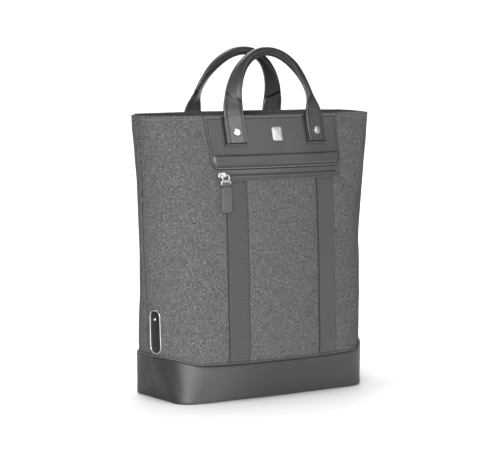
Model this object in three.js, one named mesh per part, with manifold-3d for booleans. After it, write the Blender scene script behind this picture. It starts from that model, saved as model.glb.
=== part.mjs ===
// A two-way tote that turns into a backpack, standing open and empty.
// Two canvas half shells meet at side seams, stand in a leather boot and carry a leather yoke,
// a zipped front pocket, two webbing straps and two rolled leather handles.
//
// Units are millimetres. X runs to the right along the front, Y runs to the back and Z up.
// The origin is the middle of the base, on the surface that the bag stands on.

import * as THREE from 'three';
import { mergeVertices } from 'three/addons/utils/BufferGeometryUtils.js';
import Module from 'manifold-3d';

const wasm = await Module();
wasm.setup();

// Driving sizes of the bag
const BAG_HEIGHT = 400;
const RIM_WIDTH = 394;
const BODY_DEPTH = 176;
const WALL = 3;
const GAP = 0.3;

// Base: a moulded leather boot
const BOOT_WALL = 2.2;
const BOOT_FLOOR = 3;
const BOOT_FRONT = 57;
const BOOT_SIDE = 66;
const BOOT_EDGE = 1.5;
const BOOT_LIFT = 3;
const BOOT_FOOT_INSET = 9;

// Inner band round the mouth
const FACING_DEEP = 40;
const FACING_THICK = 1.2;
const FACING_PROUD = 0.4;
const FACING_BACK_RISE = 1.6;

// Leather yoke, which carries the handles
const YOKE_DROP = 55;
const YOKE_TOP_WIDTH = 231;
const YOKE_LOW_WIDTH = 225;
const YOKE_THICK = 1.3;
const YOKE_RIM_INSET = 0.6;

// Front pocket: padded flap, zip tape, coil
const FLAP_WIDTH = 226;
const FLAP_HEIGHT = 18.6;
const FLAP_THICK = 3.8;
const FLAP_HEM_THICK = 1.8;
const FLAP_CORNER = 10;
const TAPE_HEIGHT = 15;
const TAPE_WIDTH = 218;
const TAPE_THICK = 1;
const TAPE_CORNER = 7;
const COIL_HEIGHT = 2.4;
const COIL_THICK = 1.2;
const COIL_END_INSET = 5;

// Webbing straps on the front
const STRAP_WIDTH = 33.2;
const STRAP_CENTRE = 77.1;
const STRAP_THICK = 1.4;

// Handles
const HANDLE_SPAN = 139;
const HANDLE_RISE = 89.5;
const HANDLE_STRAIGHT = 1;
const TAB_DROP = 38.5;
const TAB_WIDTH = 31;
const TAB_THICK = 3.2;
const GRIP_THICK = 12.6;
const FRONT_LEAN = 0.24;
const BACK_LEAN = 0.31;

// Patches under the handle tabs, and rivets on them
const PATCH_THICK = 1;
const PATCH_PEEK = 3;
const PATCH_TOP_INSET = 6;
const RIVET_HEAD = 11;
const RIVET_RISE = 2.6;
const RIVET_BRIM = 0.7;
const RIVET_DROP = 24.5;

// Plain metal plaque in the middle of the yoke
const PLAQUE_WIDTH = 17;
const PLAQUE_HEIGHT = 20;
const PLAQUE_THICK = 1.6;
const PLAQUE_CORNER = 2.8;
const PLAQUE_DROP = 27;

// Upright oval plate on the left side
const PLATE_HEIGHT = 62;
const PLATE_WIDTH = 19;
const PLATE_THICK = 2.6;
const PLATE_RIM = 1.8;
const PLATE_SHOULDER = 1.8;
const PLATE_BEVEL = 0.6;
const PLATE_LOW_END = 68;
const PLATE_PLACE = 0.907;
const INLAY_THICK = 1.4;
const STUD_WIDTH = 4;
const STUD_THICK = 1;
const STUD_BRIM = 0.3;
const STUD_FROM_TOP = 13;

// Zip slider and pull
const SLIDER_PLACE = -99;
const SLIDER_LENGTH = 12;
const SLIDER_HEIGHT = 9;
const SLIDER_THICK = 2;
const SLIDER_CORNER = 2.2;
const BRIDGE_WIDTH = 3;
const BRIDGE_WIRE = 1.4;
const BRIDGE_SHIFT = 3.2;
const PULL_SHIFT = 4.4;
const PULL_THICK = 2;
const PULL_WIRE = 1.9;
const RING_WIDTH = 12;
const RING_HEIGHT = 9.5;
const RING_CORNER = 3;
const RING_HOLE_CORNER = 1.5;
const SLOT_BAR_WIDTH = 16;
const SLOT_BAR_HEIGHT = 7;
const SLOT_BAR_CORNER = 2.3;
const SLOT_CORNER = 1;
const PULL_REST_TILT = THREE.MathUtils.degToRad(4.5);
const PULL_TAB_LENGTH = 36;
const PULL_TAB_THICK = 3;
const PULL_TAB_CORNER = 4;
const PULL_TAB_LAYER = 1;
const HINGE_PLAY = 0.35;

// The bag's form. height is a share of BAG_HEIGHT, halfWidth and cornerWidth are shares of half the
// rim's width, halfDepth and bow are shares of half the body's depth, and cornerDepth is the share
// of the depth at the side that the rounded corner takes up.
const FORM = [
  { height: 0, halfWidth: 0.812, halfDepth: 0.858, bow: 0.136, cornerWidth: 0.12, cornerDepth: 0.28 },
  { height: 0.155, halfWidth: 0.891, halfDepth: 0.994, bow: 0.28, cornerWidth: 0.29, cornerDepth: 0.87 },
  { height: 0.325, halfWidth: 0.906, halfDepth: 0.973, bow: 0.33, cornerWidth: 0.322, cornerDepth: 0.9 },
  { height: 0.55, halfWidth: 0.939, halfDepth: 0.931, bow: 0.395, cornerWidth: 0.365, cornerDepth: 0.94 },
  { height: 0.8, halfWidth: 0.957, halfDepth: 0.812, bow: 0.31, cornerWidth: 0.204, cornerDepth: 0.95 },
  { height: 1, halfWidth: 1, halfDepth: 0.566, bow: 0.24, cornerWidth: 0.078, cornerDepth: 0.96 },
];
const FORM_COLUMNS = ['halfWidth', 'halfDepth', 'bow', 'cornerWidth', 'cornerDepth'];

// A handle's section from its tab to the middle of its grip. climb is a share of HANDLE_RISE above
// the rim, flat is 1 for the tab's section and 0 for the round grip's, and twist turns its face out.
const HANDLE_FORM = [
  { climb: 0, flat: 1, twist: 0 },
  { climb: 0.1, flat: 0.9, twist: 0.16 },
  { climb: 0.24, flat: 0.72, twist: 0.48 },
  { climb: 0.42, flat: 0.55, twist: 0.62 },
  { climb: 0.62, flat: 0.36, twist: 0.6 },
  { climb: 0.85, flat: 0.1, twist: 0.3 },
  { climb: 1, flat: 0, twist: 0 },
];

// How finely the surfaces are divided
const SHELL_COLUMNS = 28;
const SHELL_ROWS = [0.17, 0.23, 0.3, 0.38, 0.47, 0.56, 0.65, 0.74, 0.82, 0.9, 0.95, 1];
const BOOT_ROWS = [0.34, 0.62, 0.94];
const GRIP_SIDES = 12;
const ARCH_STEPS = 20;
const LEG_STEPS = 5;
const LEG_SHARE = 0.15;
const FACE_COLUMNS = 14;
const NARROW_COLUMNS = 3;
const YOKE_ROWS = 5;
const FLAP_ROWS = 8;
const TAPE_ROWS = 4;
const STRAP_ROWS = 13;
const PATCH_ROWS = 3;
const OVAL_ROWS = 12;
const BORE_SIDES = 16;
const STUD_SIDES = 10;

// How fast a handle's tab loses its thinness and its square edges as it turns into the grip
const THIN_POWER = 0.7;
const TAB_SQUARENESS = 0.35;

// Reads a table with named columns smoothly at any place along its first column.
function smoothTable(rows, place, columns) {
  const places = rows.map((row) => row[place]);
  const values = rows.flatMap((row) => columns.map((column) => row[column]));
  const curve = new THREE.CubicInterpolant(places, values, columns.length, new Float64Array(columns.length));
  return (at) => {
    const result = curve.evaluate(at);
    return Object.fromEntries(columns.map((column, i) => [column, result[i]]));
  };
}

const formAt = smoothTable(FORM, 'height', FORM_COLUMNS);
const handleAt = smoothTable(HANDLE_FORM, 'climb', ['flat', 'twist']);

// The bag's plan section at a height, in millimetres.
function section(z) {
  const share = formAt(THREE.MathUtils.clamp(z / BAG_HEIGHT, 0, 1));
  const halfWidth = share.halfWidth * RIM_WIDTH / 2;
  const halfDepth = share.halfDepth * BODY_DEPTH / 2;
  const bow = share.bow * BODY_DEPTH / 2;
  const cornerWidth = share.cornerWidth * RIM_WIDTH / 2;
  const cornerDepth = Math.min(share.cornerDepth, 1) * (halfDepth - bow);
  return { halfWidth, halfDepth, bow, cornerWidth, cornerDepth };
}

// Depth of the front face in front of the side seams, at a distance x from the middle.
function depthAt(plan, x) {
  const reach = Math.max(0, Math.abs(x) - (plan.halfWidth - plan.cornerWidth)) / plan.cornerWidth;
  const corner = plan.cornerDepth * (1 - Math.sqrt(Math.max(0, 1 - reach * reach)));
  return plan.halfDepth - plan.bow * (x / plan.halfWidth) ** 2 - corner;
}

// A place on the plan section: t is 0 at the middle of the front and 1 at the side seam.
function planPlace(plan, t) {
  const across = plan.halfWidth - plan.cornerWidth;
  const bend = Math.PI / 2 * Math.hypot(plan.cornerWidth, plan.cornerDepth) / Math.SQRT2;
  const flank = plan.halfDepth - plan.bow - plan.cornerDepth;
  const run = Math.min(Math.abs(t), 1) * (across + bend + flank);
  let x = run;
  let depth = 0;
  if (run <= across) {
    depth = depthAt(plan, x);
  } else if (run <= across + bend) {
    x = across + plan.cornerWidth * Math.sin((run - across) / bend * Math.PI / 2);
    depth = depthAt(plan, x);
  } else {
    x = plan.halfWidth;
    depth = across + bend + flank - run;
  }
  return new THREE.Vector2(Math.sign(t) * x, -depth);
}

// A point on the bag or proud of it, by its place t round the half shell. side is -1 for the front
// half and 1 for the back half.
const NORMAL_STEP = 0.002;
function shellPoint(t, z, proud, side = -1) {
  const plan = section(z);
  const here = planPlace(plan, t);
  const before = planPlace(plan, Math.max(t - NORMAL_STEP, -1));
  const after = planPlace(plan, Math.min(t + NORMAL_STEP, 1));
  const along = after.sub(before).normalize();
  return new THREE.Vector3(here.x + along.y * proud, -side * (here.y - along.x * proud), z);
}

// A point on the bag or proud of it, by its distance x from the middle of the front or back face.
const SLOPE_STEP = 1;
function facePoint(x, z, proud, side = -1) {
  const plan = section(z);
  const depth = depthAt(plan, x);
  const out = new THREE.Vector3(
    2 * plan.bow * x / plan.halfWidth ** 2,
    side,
    (depthAt(section(z - SLOPE_STEP), x) - depth) / SLOPE_STEP,
  ).normalize();
  return new THREE.Vector3(x, side * depth, z).addScaledVector(out, proud);
}

// The turn of the front face, in plan, at a distance x from the middle.
function faceTurn(x, z) {
  const plan = section(z);
  return Math.atan(2 * plan.bow * x / plan.halfWidth ** 2);
}

// A closed mesh from points and faces, turned inside out where a mirrored form needs it.
function closedGeometry(points, faces) {
  const geometry = new THREE.BufferGeometry();
  geometry.setAttribute('position', new THREE.Float32BufferAttribute(points.flatMap((p) => p.toArray()), 3));
  let volume = 0;
  for (const [a, b, c] of faces) {
    volume += points[a].dot(new THREE.Vector3().crossVectors(points[b], points[c]));
  }
  geometry.setIndex(faces.flatMap(([a, b, c]) => (volume > 0 ? [a, b, c] : [a, c, b])));
  geometry.computeVertexNormals();
  return geometry;
}

// A sheet with thickness. place(u, v, top) gives a point of its under or upper face.
function slab(columns, rows, place) {
  const points = [];
  const index = (i, j, top) => (j * (columns + 1) + i) * 2 + top;
  for (let j = 0; j <= rows; j += 1) {
    for (let i = 0; i <= columns; i += 1) {
      points.push(place(i / columns, j / rows, 0), place(i / columns, j / rows, 1));
    }
  }
  const faces = [];
  const quad = (a, b, c, d) => faces.push([a, b, c], [a, c, d]);
  for (let j = 0; j < rows; j += 1) {
    for (let i = 0; i < columns; i += 1) {
      quad(index(i, j, 1), index(i + 1, j, 1), index(i + 1, j + 1, 1), index(i, j + 1, 1));
      quad(index(i, j, 0), index(i, j + 1, 0), index(i + 1, j + 1, 0), index(i + 1, j, 0));
    }
    quad(index(0, j, 1), index(0, j + 1, 1), index(0, j + 1, 0), index(0, j, 0));
    quad(index(columns, j, 0), index(columns, j + 1, 0), index(columns, j + 1, 1), index(columns, j, 1));
  }
  for (let i = 0; i < columns; i += 1) {
    quad(index(i, 0, 0), index(i + 1, 0, 0), index(i + 1, 0, 1), index(i, 0, 1));
    quad(index(i, rows, 1), index(i + 1, rows, 1), index(i + 1, rows, 0), index(i, rows, 0));
  }
  return closedGeometry(points, faces);
}

// A loop of sections, each a list of points: a band that closes on itself.
function band(sections) {
  const size = sections[0].length;
  const faces = [];
  for (let j = 0; j < sections.length; j += 1) {
    const next = (j + 1) % sections.length;
    for (let i = 0; i < size; i += 1) {
      const side = (i + 1) % size;
      faces.push([j * size + i, j * size + side, next * size + side]);
      faces.push([j * size + i, next * size + side, next * size + i]);
    }
  }
  return closedGeometry(sections.flat(), faces);
}

// A run of rings between two end points, which close it: a cup or a bent rod.
function capped(rings, first, last) {
  const size = rings[0].length;
  const points = [...rings.flat(), first, last];
  const faces = [];
  for (let i = 0; i < size; i += 1) {
    const side = (i + 1) % size;
    for (let j = 0; j < rings.length - 1; j += 1) {
      const [a, b, c, d] = [j * size + i, j * size + side, (j + 1) * size + side, (j + 1) * size + i];
      // Facets are split along the diagonal that rises, so that nested walls have the same facets.
      if (points[d].z >= points[a].z) {
        faces.push([a, b, c], [a, c, d]);
      } else {
        faces.push([a, b, d], [b, c, d]);
      }
    }
    const end = (rings.length - 1) * size;
    faces.push([points.length - 2, side, i]);
    faces.push([points.length - 1, end + i, end + side]);
  }
  return closedGeometry(points, faces);
}

// Closed geometry to a solid that can be joined and cut, and back.
function solidOf(geometry) {
  const bare = geometry.clone();
  bare.deleteAttribute('normal');
  bare.deleteAttribute('uv');
  const merged = mergeVertices(bare);
  const vertProperties = new Float32Array(merged.attributes.position.array);
  return new wasm.Manifold(new wasm.Mesh({
    numProp: 3,
    vertProperties,
    triVerts: new Uint32Array(merged.index.array),
  }));
}

function geometryOf(solid) {
  const mesh = solid.getMesh();
  const geometry = new THREE.BufferGeometry();
  geometry.setAttribute('position', new THREE.BufferAttribute(new Float32Array(mesh.vertProperties), 3));
  geometry.setIndex(new THREE.BufferAttribute(new Uint32Array(mesh.triVerts), 1));
  geometry.computeVertexNormals();
  return geometry;
}

// A flat outline drawn with lines and arcs: a rectangle with rounded corners round (x, y).
function roundedOutline(path, x, y, width, height, corner) {
  const right = x + width / 2;
  const left = x - width / 2;
  const top = y + height / 2;
  const bottom = y - height / 2;
  path.moveTo(left + corner, bottom);
  path.lineTo(right - corner, bottom);
  path.absarc(right - corner, bottom + corner, corner, -Math.PI / 2, 0);
  path.lineTo(right, top - corner);
  path.absarc(right - corner, top - corner, corner, 0, Math.PI / 2);
  path.lineTo(left + corner, top);
  path.absarc(left + corner, top - corner, corner, Math.PI / 2, Math.PI);
  path.lineTo(left, bottom + corner);
  path.absarc(left + corner, bottom + corner, corner, Math.PI, Math.PI * 1.5);
  return path;
}

const CURVE_PARTS = 3;
function plate(shape, thick) {
  const geometry = new THREE.ExtrudeGeometry(shape, {
    depth: thick,
    bevelEnabled: false,
    curveSegments: CURVE_PARTS,
  });
  return geometry.translate(0, 0, -thick / 2);
}

function finish(color, roughness, metalness = 0) {
  return new THREE.MeshStandardMaterial({ color, roughness, metalness });
}

const canvas = () => finish('#747474', 0.95);
const leather = () => finish('#5a5a5a', 0.55);
const bootLeather = () => finish('#4d4d4d', 0.5);
const webbing = () => finish('#626262', 0.85);
const facingCloth = () => finish('#343434', 0.9);
const zipCloth = () => finish('#484848', 0.7);
const polishedMetal = () => finish('#d9dadc', 0.18, 1);
const glossBlack = () => finish('#1b1b1c', 0.15);

const bag = new THREE.Group();

function add(name, geometry, material, parent = bag) {
  const mesh = new THREE.Mesh(geometry, material);
  mesh.name = name;
  parent.add(mesh);
  return mesh;
}

// Heights of the rows of points: inside the boot, and above it.
const bootHeights = BOOT_ROWS.map((share) => share * BOOT_FRONT);
const shellHeights = SHELL_ROWS.map((share) => share * BAG_HEIGHT);

// Canvas half shell, from one side seam round to the other.
function shellPanel(side) {
  const heights = [BOOT_FLOOR + GAP, ...bootHeights, ...shellHeights];
  return slab(SHELL_COLUMNS, heights.length - 1, (u, v, top) => {
    const z = heights[Math.round(v * (heights.length - 1))];
    const point = shellPoint(side * (1 - u * 2), z, top ? 0 : -WALL, side);
    point.y = side * Math.max(side * point.y, GAP / 2);
    return point;
  });
}

// Places all the way round the bag, with the half that each lies on.
function roundTheBag() {
  const stops = [];
  for (const side of [-1, 1]) {
    for (let i = 0; i < SHELL_COLUMNS; i += 1) {
      stops.push({ t: -side * (i / SHELL_COLUMNS * 2 - 1), side });
    }
  }
  return stops;
}

// The boot's edge dips across the front and back and rises at the sides.
const BOOT_DIP_POWER = 5;
function bootTop(t, side) {
  const place = shellPoint(t, BOOT_FRONT, 0, side);
  const share = Math.abs(place.x) / section(BOOT_FRONT).halfWidth;
  return BOOT_FRONT + (BOOT_SIDE - BOOT_FRONT) * share ** BOOT_DIP_POWER;
}

// The lower edge lifts off the ground between the corners. BOOT_LIFT_WIDTH is a share of the half
// width, BOOT_LIFT_FADE the share of the depth over which the lift fades towards the side seams.
const BOOT_LIFT_WIDTH = 0.8;
const BOOT_LIFT_FADE = 0.25;
function bootFoot(t, side) {
  const place = shellPoint(t, 0, 0, side);
  const share = place.x / (section(0).halfWidth * BOOT_LIFT_WIDTH);
  const fade = Math.min(1, Math.abs(place.y) / (BODY_DEPTH * BOOT_LIFT_FADE));
  return BOOT_EDGE + BOOT_LIFT * Math.max(0, 1 - share * share) * fade;
}

function boot() {
  const stops = roundTheBag();
  const ring = (proud, height) => stops.map(({ t, side }) => shellPoint(t, height(t, side), proud, side));
  const outside = GAP + BOOT_WALL;
  const wall = [...bootHeights.map((height) => () => height), bootTop];
  const rings = [
    ring(outside - BOOT_FOOT_INSET, () => 0),
    ring(outside - BOOT_EDGE, (t, side) => bootFoot(t, side) - BOOT_EDGE),
    ring(outside, (t, side) => bootFoot(t, side) + BOOT_EDGE),
    ...wall.map((height) => ring(outside, height)),
    ...wall.toReversed().map((height) => ring(GAP, height)),
    ring(GAP, () => BOOT_FLOOR),
  ];
  return capped(rings, new THREE.Vector3(0, 0, 0), new THREE.Vector3(0, 0, BOOT_FLOOR));
}

// Dark band inside the mouth, a little higher along the back.
const BACK_RISE_POWER = 8;
function rimFacing() {
  const outer = -(WALL + GAP);
  const inner = outer - FACING_THICK;
  return band(roundTheBag().map(({ t, side }) => {
    const back = Math.max(0, side) * (1 - Math.abs(t) ** BACK_RISE_POWER);
    const top = BAG_HEIGHT + FACING_PROUD + FACING_BACK_RISE * back;
    const low = BAG_HEIGHT - FACING_DEEP;
    const heights = [low, ...shellHeights.filter((height) => height > low), top];
    return [
      ...heights.map((height) => shellPoint(t, height, outer, side)),
      ...heights.toReversed().map((height) => shellPoint(t, height, inner, side)),
    ];
  }));
}

// A piece on the front or back face, between two heights, with a half width for each height.
function facePiece({ side = -1, centre = 0, low, high, halfWidth, under, over, columns, rows }) {
  return slab(columns, rows, (u, v, top) => {
    const z = low + (high - low) * v;
    const x = centre + (u * 2 - 1) * halfWidth(z);
    return facePoint(x, z, top ? over(z) : under, side);
  });
}

// How much a rounded lower corner takes off the half width.
function cornerCut(aboveLowEdge, corner) {
  const drop = Math.max(0, corner - aboveLowEdge);
  return corner - Math.sqrt(Math.max(0, corner * corner - drop * drop));
}

const yokeLow = BAG_HEIGHT - YOKE_DROP;
function yokeHalfWidth(z) {
  const share = (z - yokeLow) / YOKE_DROP;
  return THREE.MathUtils.lerp(YOKE_LOW_WIDTH, YOKE_TOP_WIDTH, share) / 2;
}

function yoke(side) {
  return facePiece({
    side,
    low: yokeLow,
    high: BAG_HEIGHT - YOKE_RIM_INSET,
    halfWidth: yokeHalfWidth,
    under: GAP,
    over: () => GAP + YOKE_THICK,
    columns: FACE_COLUMNS,
    rows: YOKE_ROWS,
  });
}

// Padded pocket flap: full in the middle, thin at its hem and at the seam under the yoke.
const SWELL_POWER = 0.6;
const flapHigh = yokeLow - GAP * 2;
const flapLow = flapHigh - FLAP_HEIGHT;
function pocketFlap() {
  return facePiece({
    low: flapLow,
    high: flapHigh,
    halfWidth: (z) => FLAP_WIDTH / 2 - cornerCut(z - flapLow, FLAP_CORNER),
    under: GAP,
    over: (z) => {
      const share = (z - flapLow) / FLAP_HEIGHT;
      const swell = Math.sin(Math.PI * share ** SWELL_POWER);
      return GAP + FLAP_HEM_THICK + (FLAP_THICK - FLAP_HEM_THICK) * swell;
    },
    columns: FACE_COLUMNS,
    rows: FLAP_ROWS,
  });
}

const tapeHigh = flapLow - GAP;
const tapeLow = tapeHigh - TAPE_HEIGHT;
const coilMiddle = (tapeHigh + tapeLow) / 2;
function zipTape() {
  return facePiece({
    low: tapeLow,
    high: tapeHigh,
    halfWidth: (z) => TAPE_WIDTH / 2 - cornerCut(z - tapeLow, TAPE_CORNER),
    under: GAP,
    over: () => GAP + TAPE_THICK,
    columns: FACE_COLUMNS,
    rows: TAPE_ROWS,
  });
}

function zipCoil() {
  return facePiece({
    low: coilMiddle - COIL_HEIGHT / 2,
    high: coilMiddle + COIL_HEIGHT / 2,
    halfWidth: () => TAPE_WIDTH / 2 - COIL_END_INSET,
    under: GAP * 2 + TAPE_THICK,
    over: () => GAP * 2 + TAPE_THICK + COIL_THICK,
    columns: FACE_COLUMNS,
    rows: 1,
  });
}

function webbingStrap(centre) {
  const low = bootTop(0, -1) + GAP * 3;
  return facePiece({
    centre,
    low,
    high: tapeLow - GAP,
    halfWidth: () => STRAP_WIDTH / 2,
    under: GAP,
    over: () => GAP + STRAP_THICK,
    columns: NARROW_COLUMNS,
    rows: STRAP_ROWS,
  });
}

// Handle tabs lie on patches, which lie on the yoke.
const patchUnder = GAP * 2 + YOKE_THICK;
const tabUnder = patchUnder + PATCH_THICK + GAP;
const tabLow = BAG_HEIGHT - TAB_DROP;

function handlePatch(side, hand) {
  return facePiece({
    side,
    centre: hand * HANDLE_SPAN / 2,
    low: tabLow - PATCH_PEEK,
    high: BAG_HEIGHT - PATCH_TOP_INSET,
    halfWidth: () => TAB_WIDTH / 2,
    under: patchUnder,
    over: () => patchUnder + PATCH_THICK,
    columns: NARROW_COLUMNS,
    rows: PATCH_ROWS,
  });
}

// The middle line of one handle: up from its left tab, over the arch and down to its right tab.
class HandleLine extends THREE.Curve {
  constructor(side) {
    super();
    this.side = side;
    this.lean = side < 0 ? FRONT_LEAN : BACK_LEAN;
    this.seat = tabUnder + TAB_THICK / 2;
  }

  // A point beside the tab's middle, at a height up the bag's face or above its rim.
  legPoint(hand, z) {
    const x = hand * HANDLE_SPAN / 2;
    const point = facePoint(x, Math.min(z, BAG_HEIGHT), this.seat, this.side);
    const over = Math.max(0, z - BAG_HEIGHT);
    point.z += over;
    point.y -= this.side * this.lean * over;
    return point;
  }

  // t runs from 0 to 1: the legs take a LEG_SHARE each and the arch is the rest.
  getPoint(t) {
    const top = BAG_HEIGHT + HANDLE_STRAIGHT;
    if (t <= LEG_SHARE || t >= 1 - LEG_SHARE) {
      const hand = t <= LEG_SHARE ? -1 : 1;
      const share = Math.min(t, 1 - t) / LEG_SHARE;
      return this.legPoint(hand, THREE.MathUtils.lerp(tabLow, top, share));
    }
    const angle = Math.PI * (1 - (t - LEG_SHARE) / (1 - 2 * LEG_SHARE));
    const foot = this.legPoint(1, top);
    const up = (HANDLE_RISE - HANDLE_STRAIGHT) * Math.sin(angle);
    return new THREE.Vector3(foot.x * Math.cos(angle), foot.y - this.side * this.lean * up, top + up);
  }
}

// A ring of points round a handle's middle line: a flat rounded strip that turns into a round grip.
const TANGENT_STEP = 0.004;
function handleRing(line, t) {
  const point = line.getPoint(t);
  const before = line.getPoint(Math.max(0, t - TANGENT_STEP));
  const ahead = line.getPoint(Math.min(1, t + TANGENT_STEP)).sub(before).normalize();
  const out = new THREE.Vector3(0, line.side, 0);
  out.addScaledVector(ahead, -out.dot(ahead)).normalize();
  const inward = new THREE.Vector3().crossVectors(ahead, out).multiplyScalar(-line.side).normalize();
  const { flat, twist } = handleAt(THREE.MathUtils.clamp((point.z - BAG_HEIGHT) / HANDLE_RISE, 0, 1));
  const turn = twist + faceTurn(HANDLE_SPAN / 2, Math.min(point.z, BAG_HEIGHT)) * Math.min(1, flat);
  const across = inward.clone().multiplyScalar(Math.cos(turn)).addScaledVector(out, Math.sin(turn));
  const through = out.clone().multiplyScalar(Math.cos(turn)).addScaledVector(inward, -Math.sin(turn));
  const width = THREE.MathUtils.lerp(GRIP_THICK, TAB_WIDTH, flat);
  const thick = THREE.MathUtils.lerp(GRIP_THICK, TAB_THICK, flat ** THIN_POWER);
  const power = THREE.MathUtils.lerp(1, TAB_SQUARENESS, flat);
  const ring = [];
  for (let i = 0; i < GRIP_SIDES; i += 1) {
    const angle = (i + 0.5) / GRIP_SIDES * Math.PI * 2;
    const c = Math.cos(angle);
    const s = Math.sin(angle);
    ring.push(point.clone()
      .addScaledVector(across, Math.sign(c) * Math.abs(c) ** power * width / 2)
      .addScaledVector(through, Math.sign(s) * Math.abs(s) ** power * thick / 2));
  }
  return ring;
}

function handle(side) {
  const line = new HandleLine(side);
  const stops = [];
  for (let i = 0; i < LEG_STEPS; i += 1) {
    stops.push(LEG_SHARE * i / LEG_STEPS);
  }
  for (let i = 0; i <= ARCH_STEPS; i += 1) {
    stops.push(LEG_SHARE + (1 - 2 * LEG_SHARE) * i / ARCH_STEPS);
  }
  for (let i = 1; i <= LEG_STEPS; i += 1) {
    stops.push(1 - LEG_SHARE + LEG_SHARE * i / LEG_STEPS);
  }
  return capped(stops.map((t) => handleRing(line, t)), line.getPoint(0), line.getPoint(1));
}

// The frame of a place on the front or back face: x along it, y up it and z straight out of it.
const FRAME_STEP = 1;
function faceFrame(x, z, proud, side = -1) {
  const here = facePoint(x, z, 0, side);
  const along = facePoint(x - side * FRAME_STEP, z, 0, side).sub(here).normalize();
  const up = facePoint(x, z + FRAME_STEP, 0, side).sub(facePoint(x, z - FRAME_STEP, 0, side));
  up.addScaledVector(along, -up.dot(along)).normalize();
  const out = new THREE.Vector3().crossVectors(along, up);
  const frame = new THREE.Matrix4().makeBasis(along, up, out);
  return frame.setPosition(here.addScaledVector(out, proud));
}

function groupAt(frame) {
  const group = new THREE.Group();
  group.applyMatrix4(frame);
  bag.add(group);
  return group;
}

// A rivet's domed head, flat underneath, with its axis along z.
const DOME_PARTS = 3;
function rivetHead(width, rise, brim, sides) {
  const profile = [new THREE.Vector2(0, 0), new THREE.Vector2(width / 2, 0)];
  for (let i = 0; i <= DOME_PARTS; i += 1) {
    const angle = i / DOME_PARTS * Math.PI / 2;
    const reach = i === DOME_PARTS ? 0 : Math.cos(angle) * width / 2;
    profile.push(new THREE.Vector2(reach, brim + (rise - brim) * Math.sin(angle)));
  }
  return new THREE.LatheGeometry(profile, sides).rotateX(Math.PI / 2);
}

// Distance round the half shell from the middle of the front to the side seam.
function halfGirth(z) {
  const plan = section(z);
  const bend = Math.PI / 2 * Math.hypot(plan.cornerWidth, plan.cornerDepth) / Math.SQRT2;
  return plan.halfWidth - plan.cornerWidth + bend + plan.halfDepth - plan.bow - plan.cornerDepth;
}

// A point on the left side, by its distance round from the middle line of the oval plate.
function flankPoint(round, z, proud) {
  return shellPoint(round / halfGirth(z) - PLATE_PLACE, z, proud);
}

// Metal rim of the oval plate: a band round an upright outline with round ends.
const OVAL_END_PARTS = 7;
const OVAL_SIDE_PARTS = 4;
const plateMiddle = PLATE_LOW_END + PLATE_HEIGHT / 2;
function ovalRim() {
  const reach = (PLATE_HEIGHT - PLATE_WIDTH) / 2;
  const stops = [];
  for (const end of [1, -1]) {
    for (let i = 0; i <= OVAL_END_PARTS; i += 1) {
      stops.push({ rise: end * reach, angle: i / OVAL_END_PARTS * Math.PI + (end > 0 ? 0 : Math.PI) });
    }
    for (let i = 1; i < OVAL_SIDE_PARTS; i += 1) {
      stops.push({ rise: end * reach * (1 - 2 * i / OVAL_SIDE_PARTS), angle: end > 0 ? Math.PI : 0 });
    }
  }
  return band(stops.map(({ rise, angle }) => {
    const at = (radius, proud) => flankPoint(
      radius * Math.cos(angle),
      plateMiddle + rise + radius * Math.sin(angle),
      proud,
    );
    const outer = PLATE_WIDTH / 2;
    const inner = outer - PLATE_RIM;
    return [
      at(inner, GAP),
      at(outer, GAP),
      at(outer, GAP + PLATE_SHOULDER),
      at(outer - PLATE_BEVEL, GAP + PLATE_THICK),
      at(inner, GAP + PLATE_THICK),
    ];
  }));
}

// A flat oval inside the rim, or a part of it between two heights.
const OVAL_TIP = 0.06;
function ovalInlay(low, high, under, thick) {
  const width = PLATE_WIDTH - 2 * (PLATE_RIM + GAP);
  const length = PLATE_HEIGHT - 2 * (PLATE_RIM + GAP);
  return slab(NARROW_COLUMNS, OVAL_ROWS, (u, v, top) => {
    const ease = (1 - Math.cos(Math.PI * v)) / 2;
    const z = THREE.MathUtils.lerp(low, high, ease);
    const fromEnd = length / 2 - Math.abs(z - plateMiddle);
    const half = Math.max(width / 2 - cornerCut(fromEnd, width / 2), width * OVAL_TIP);
    return flankPoint((u * 2 - 1) * half, z, under + (top ? thick : 0));
  });
}

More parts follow.
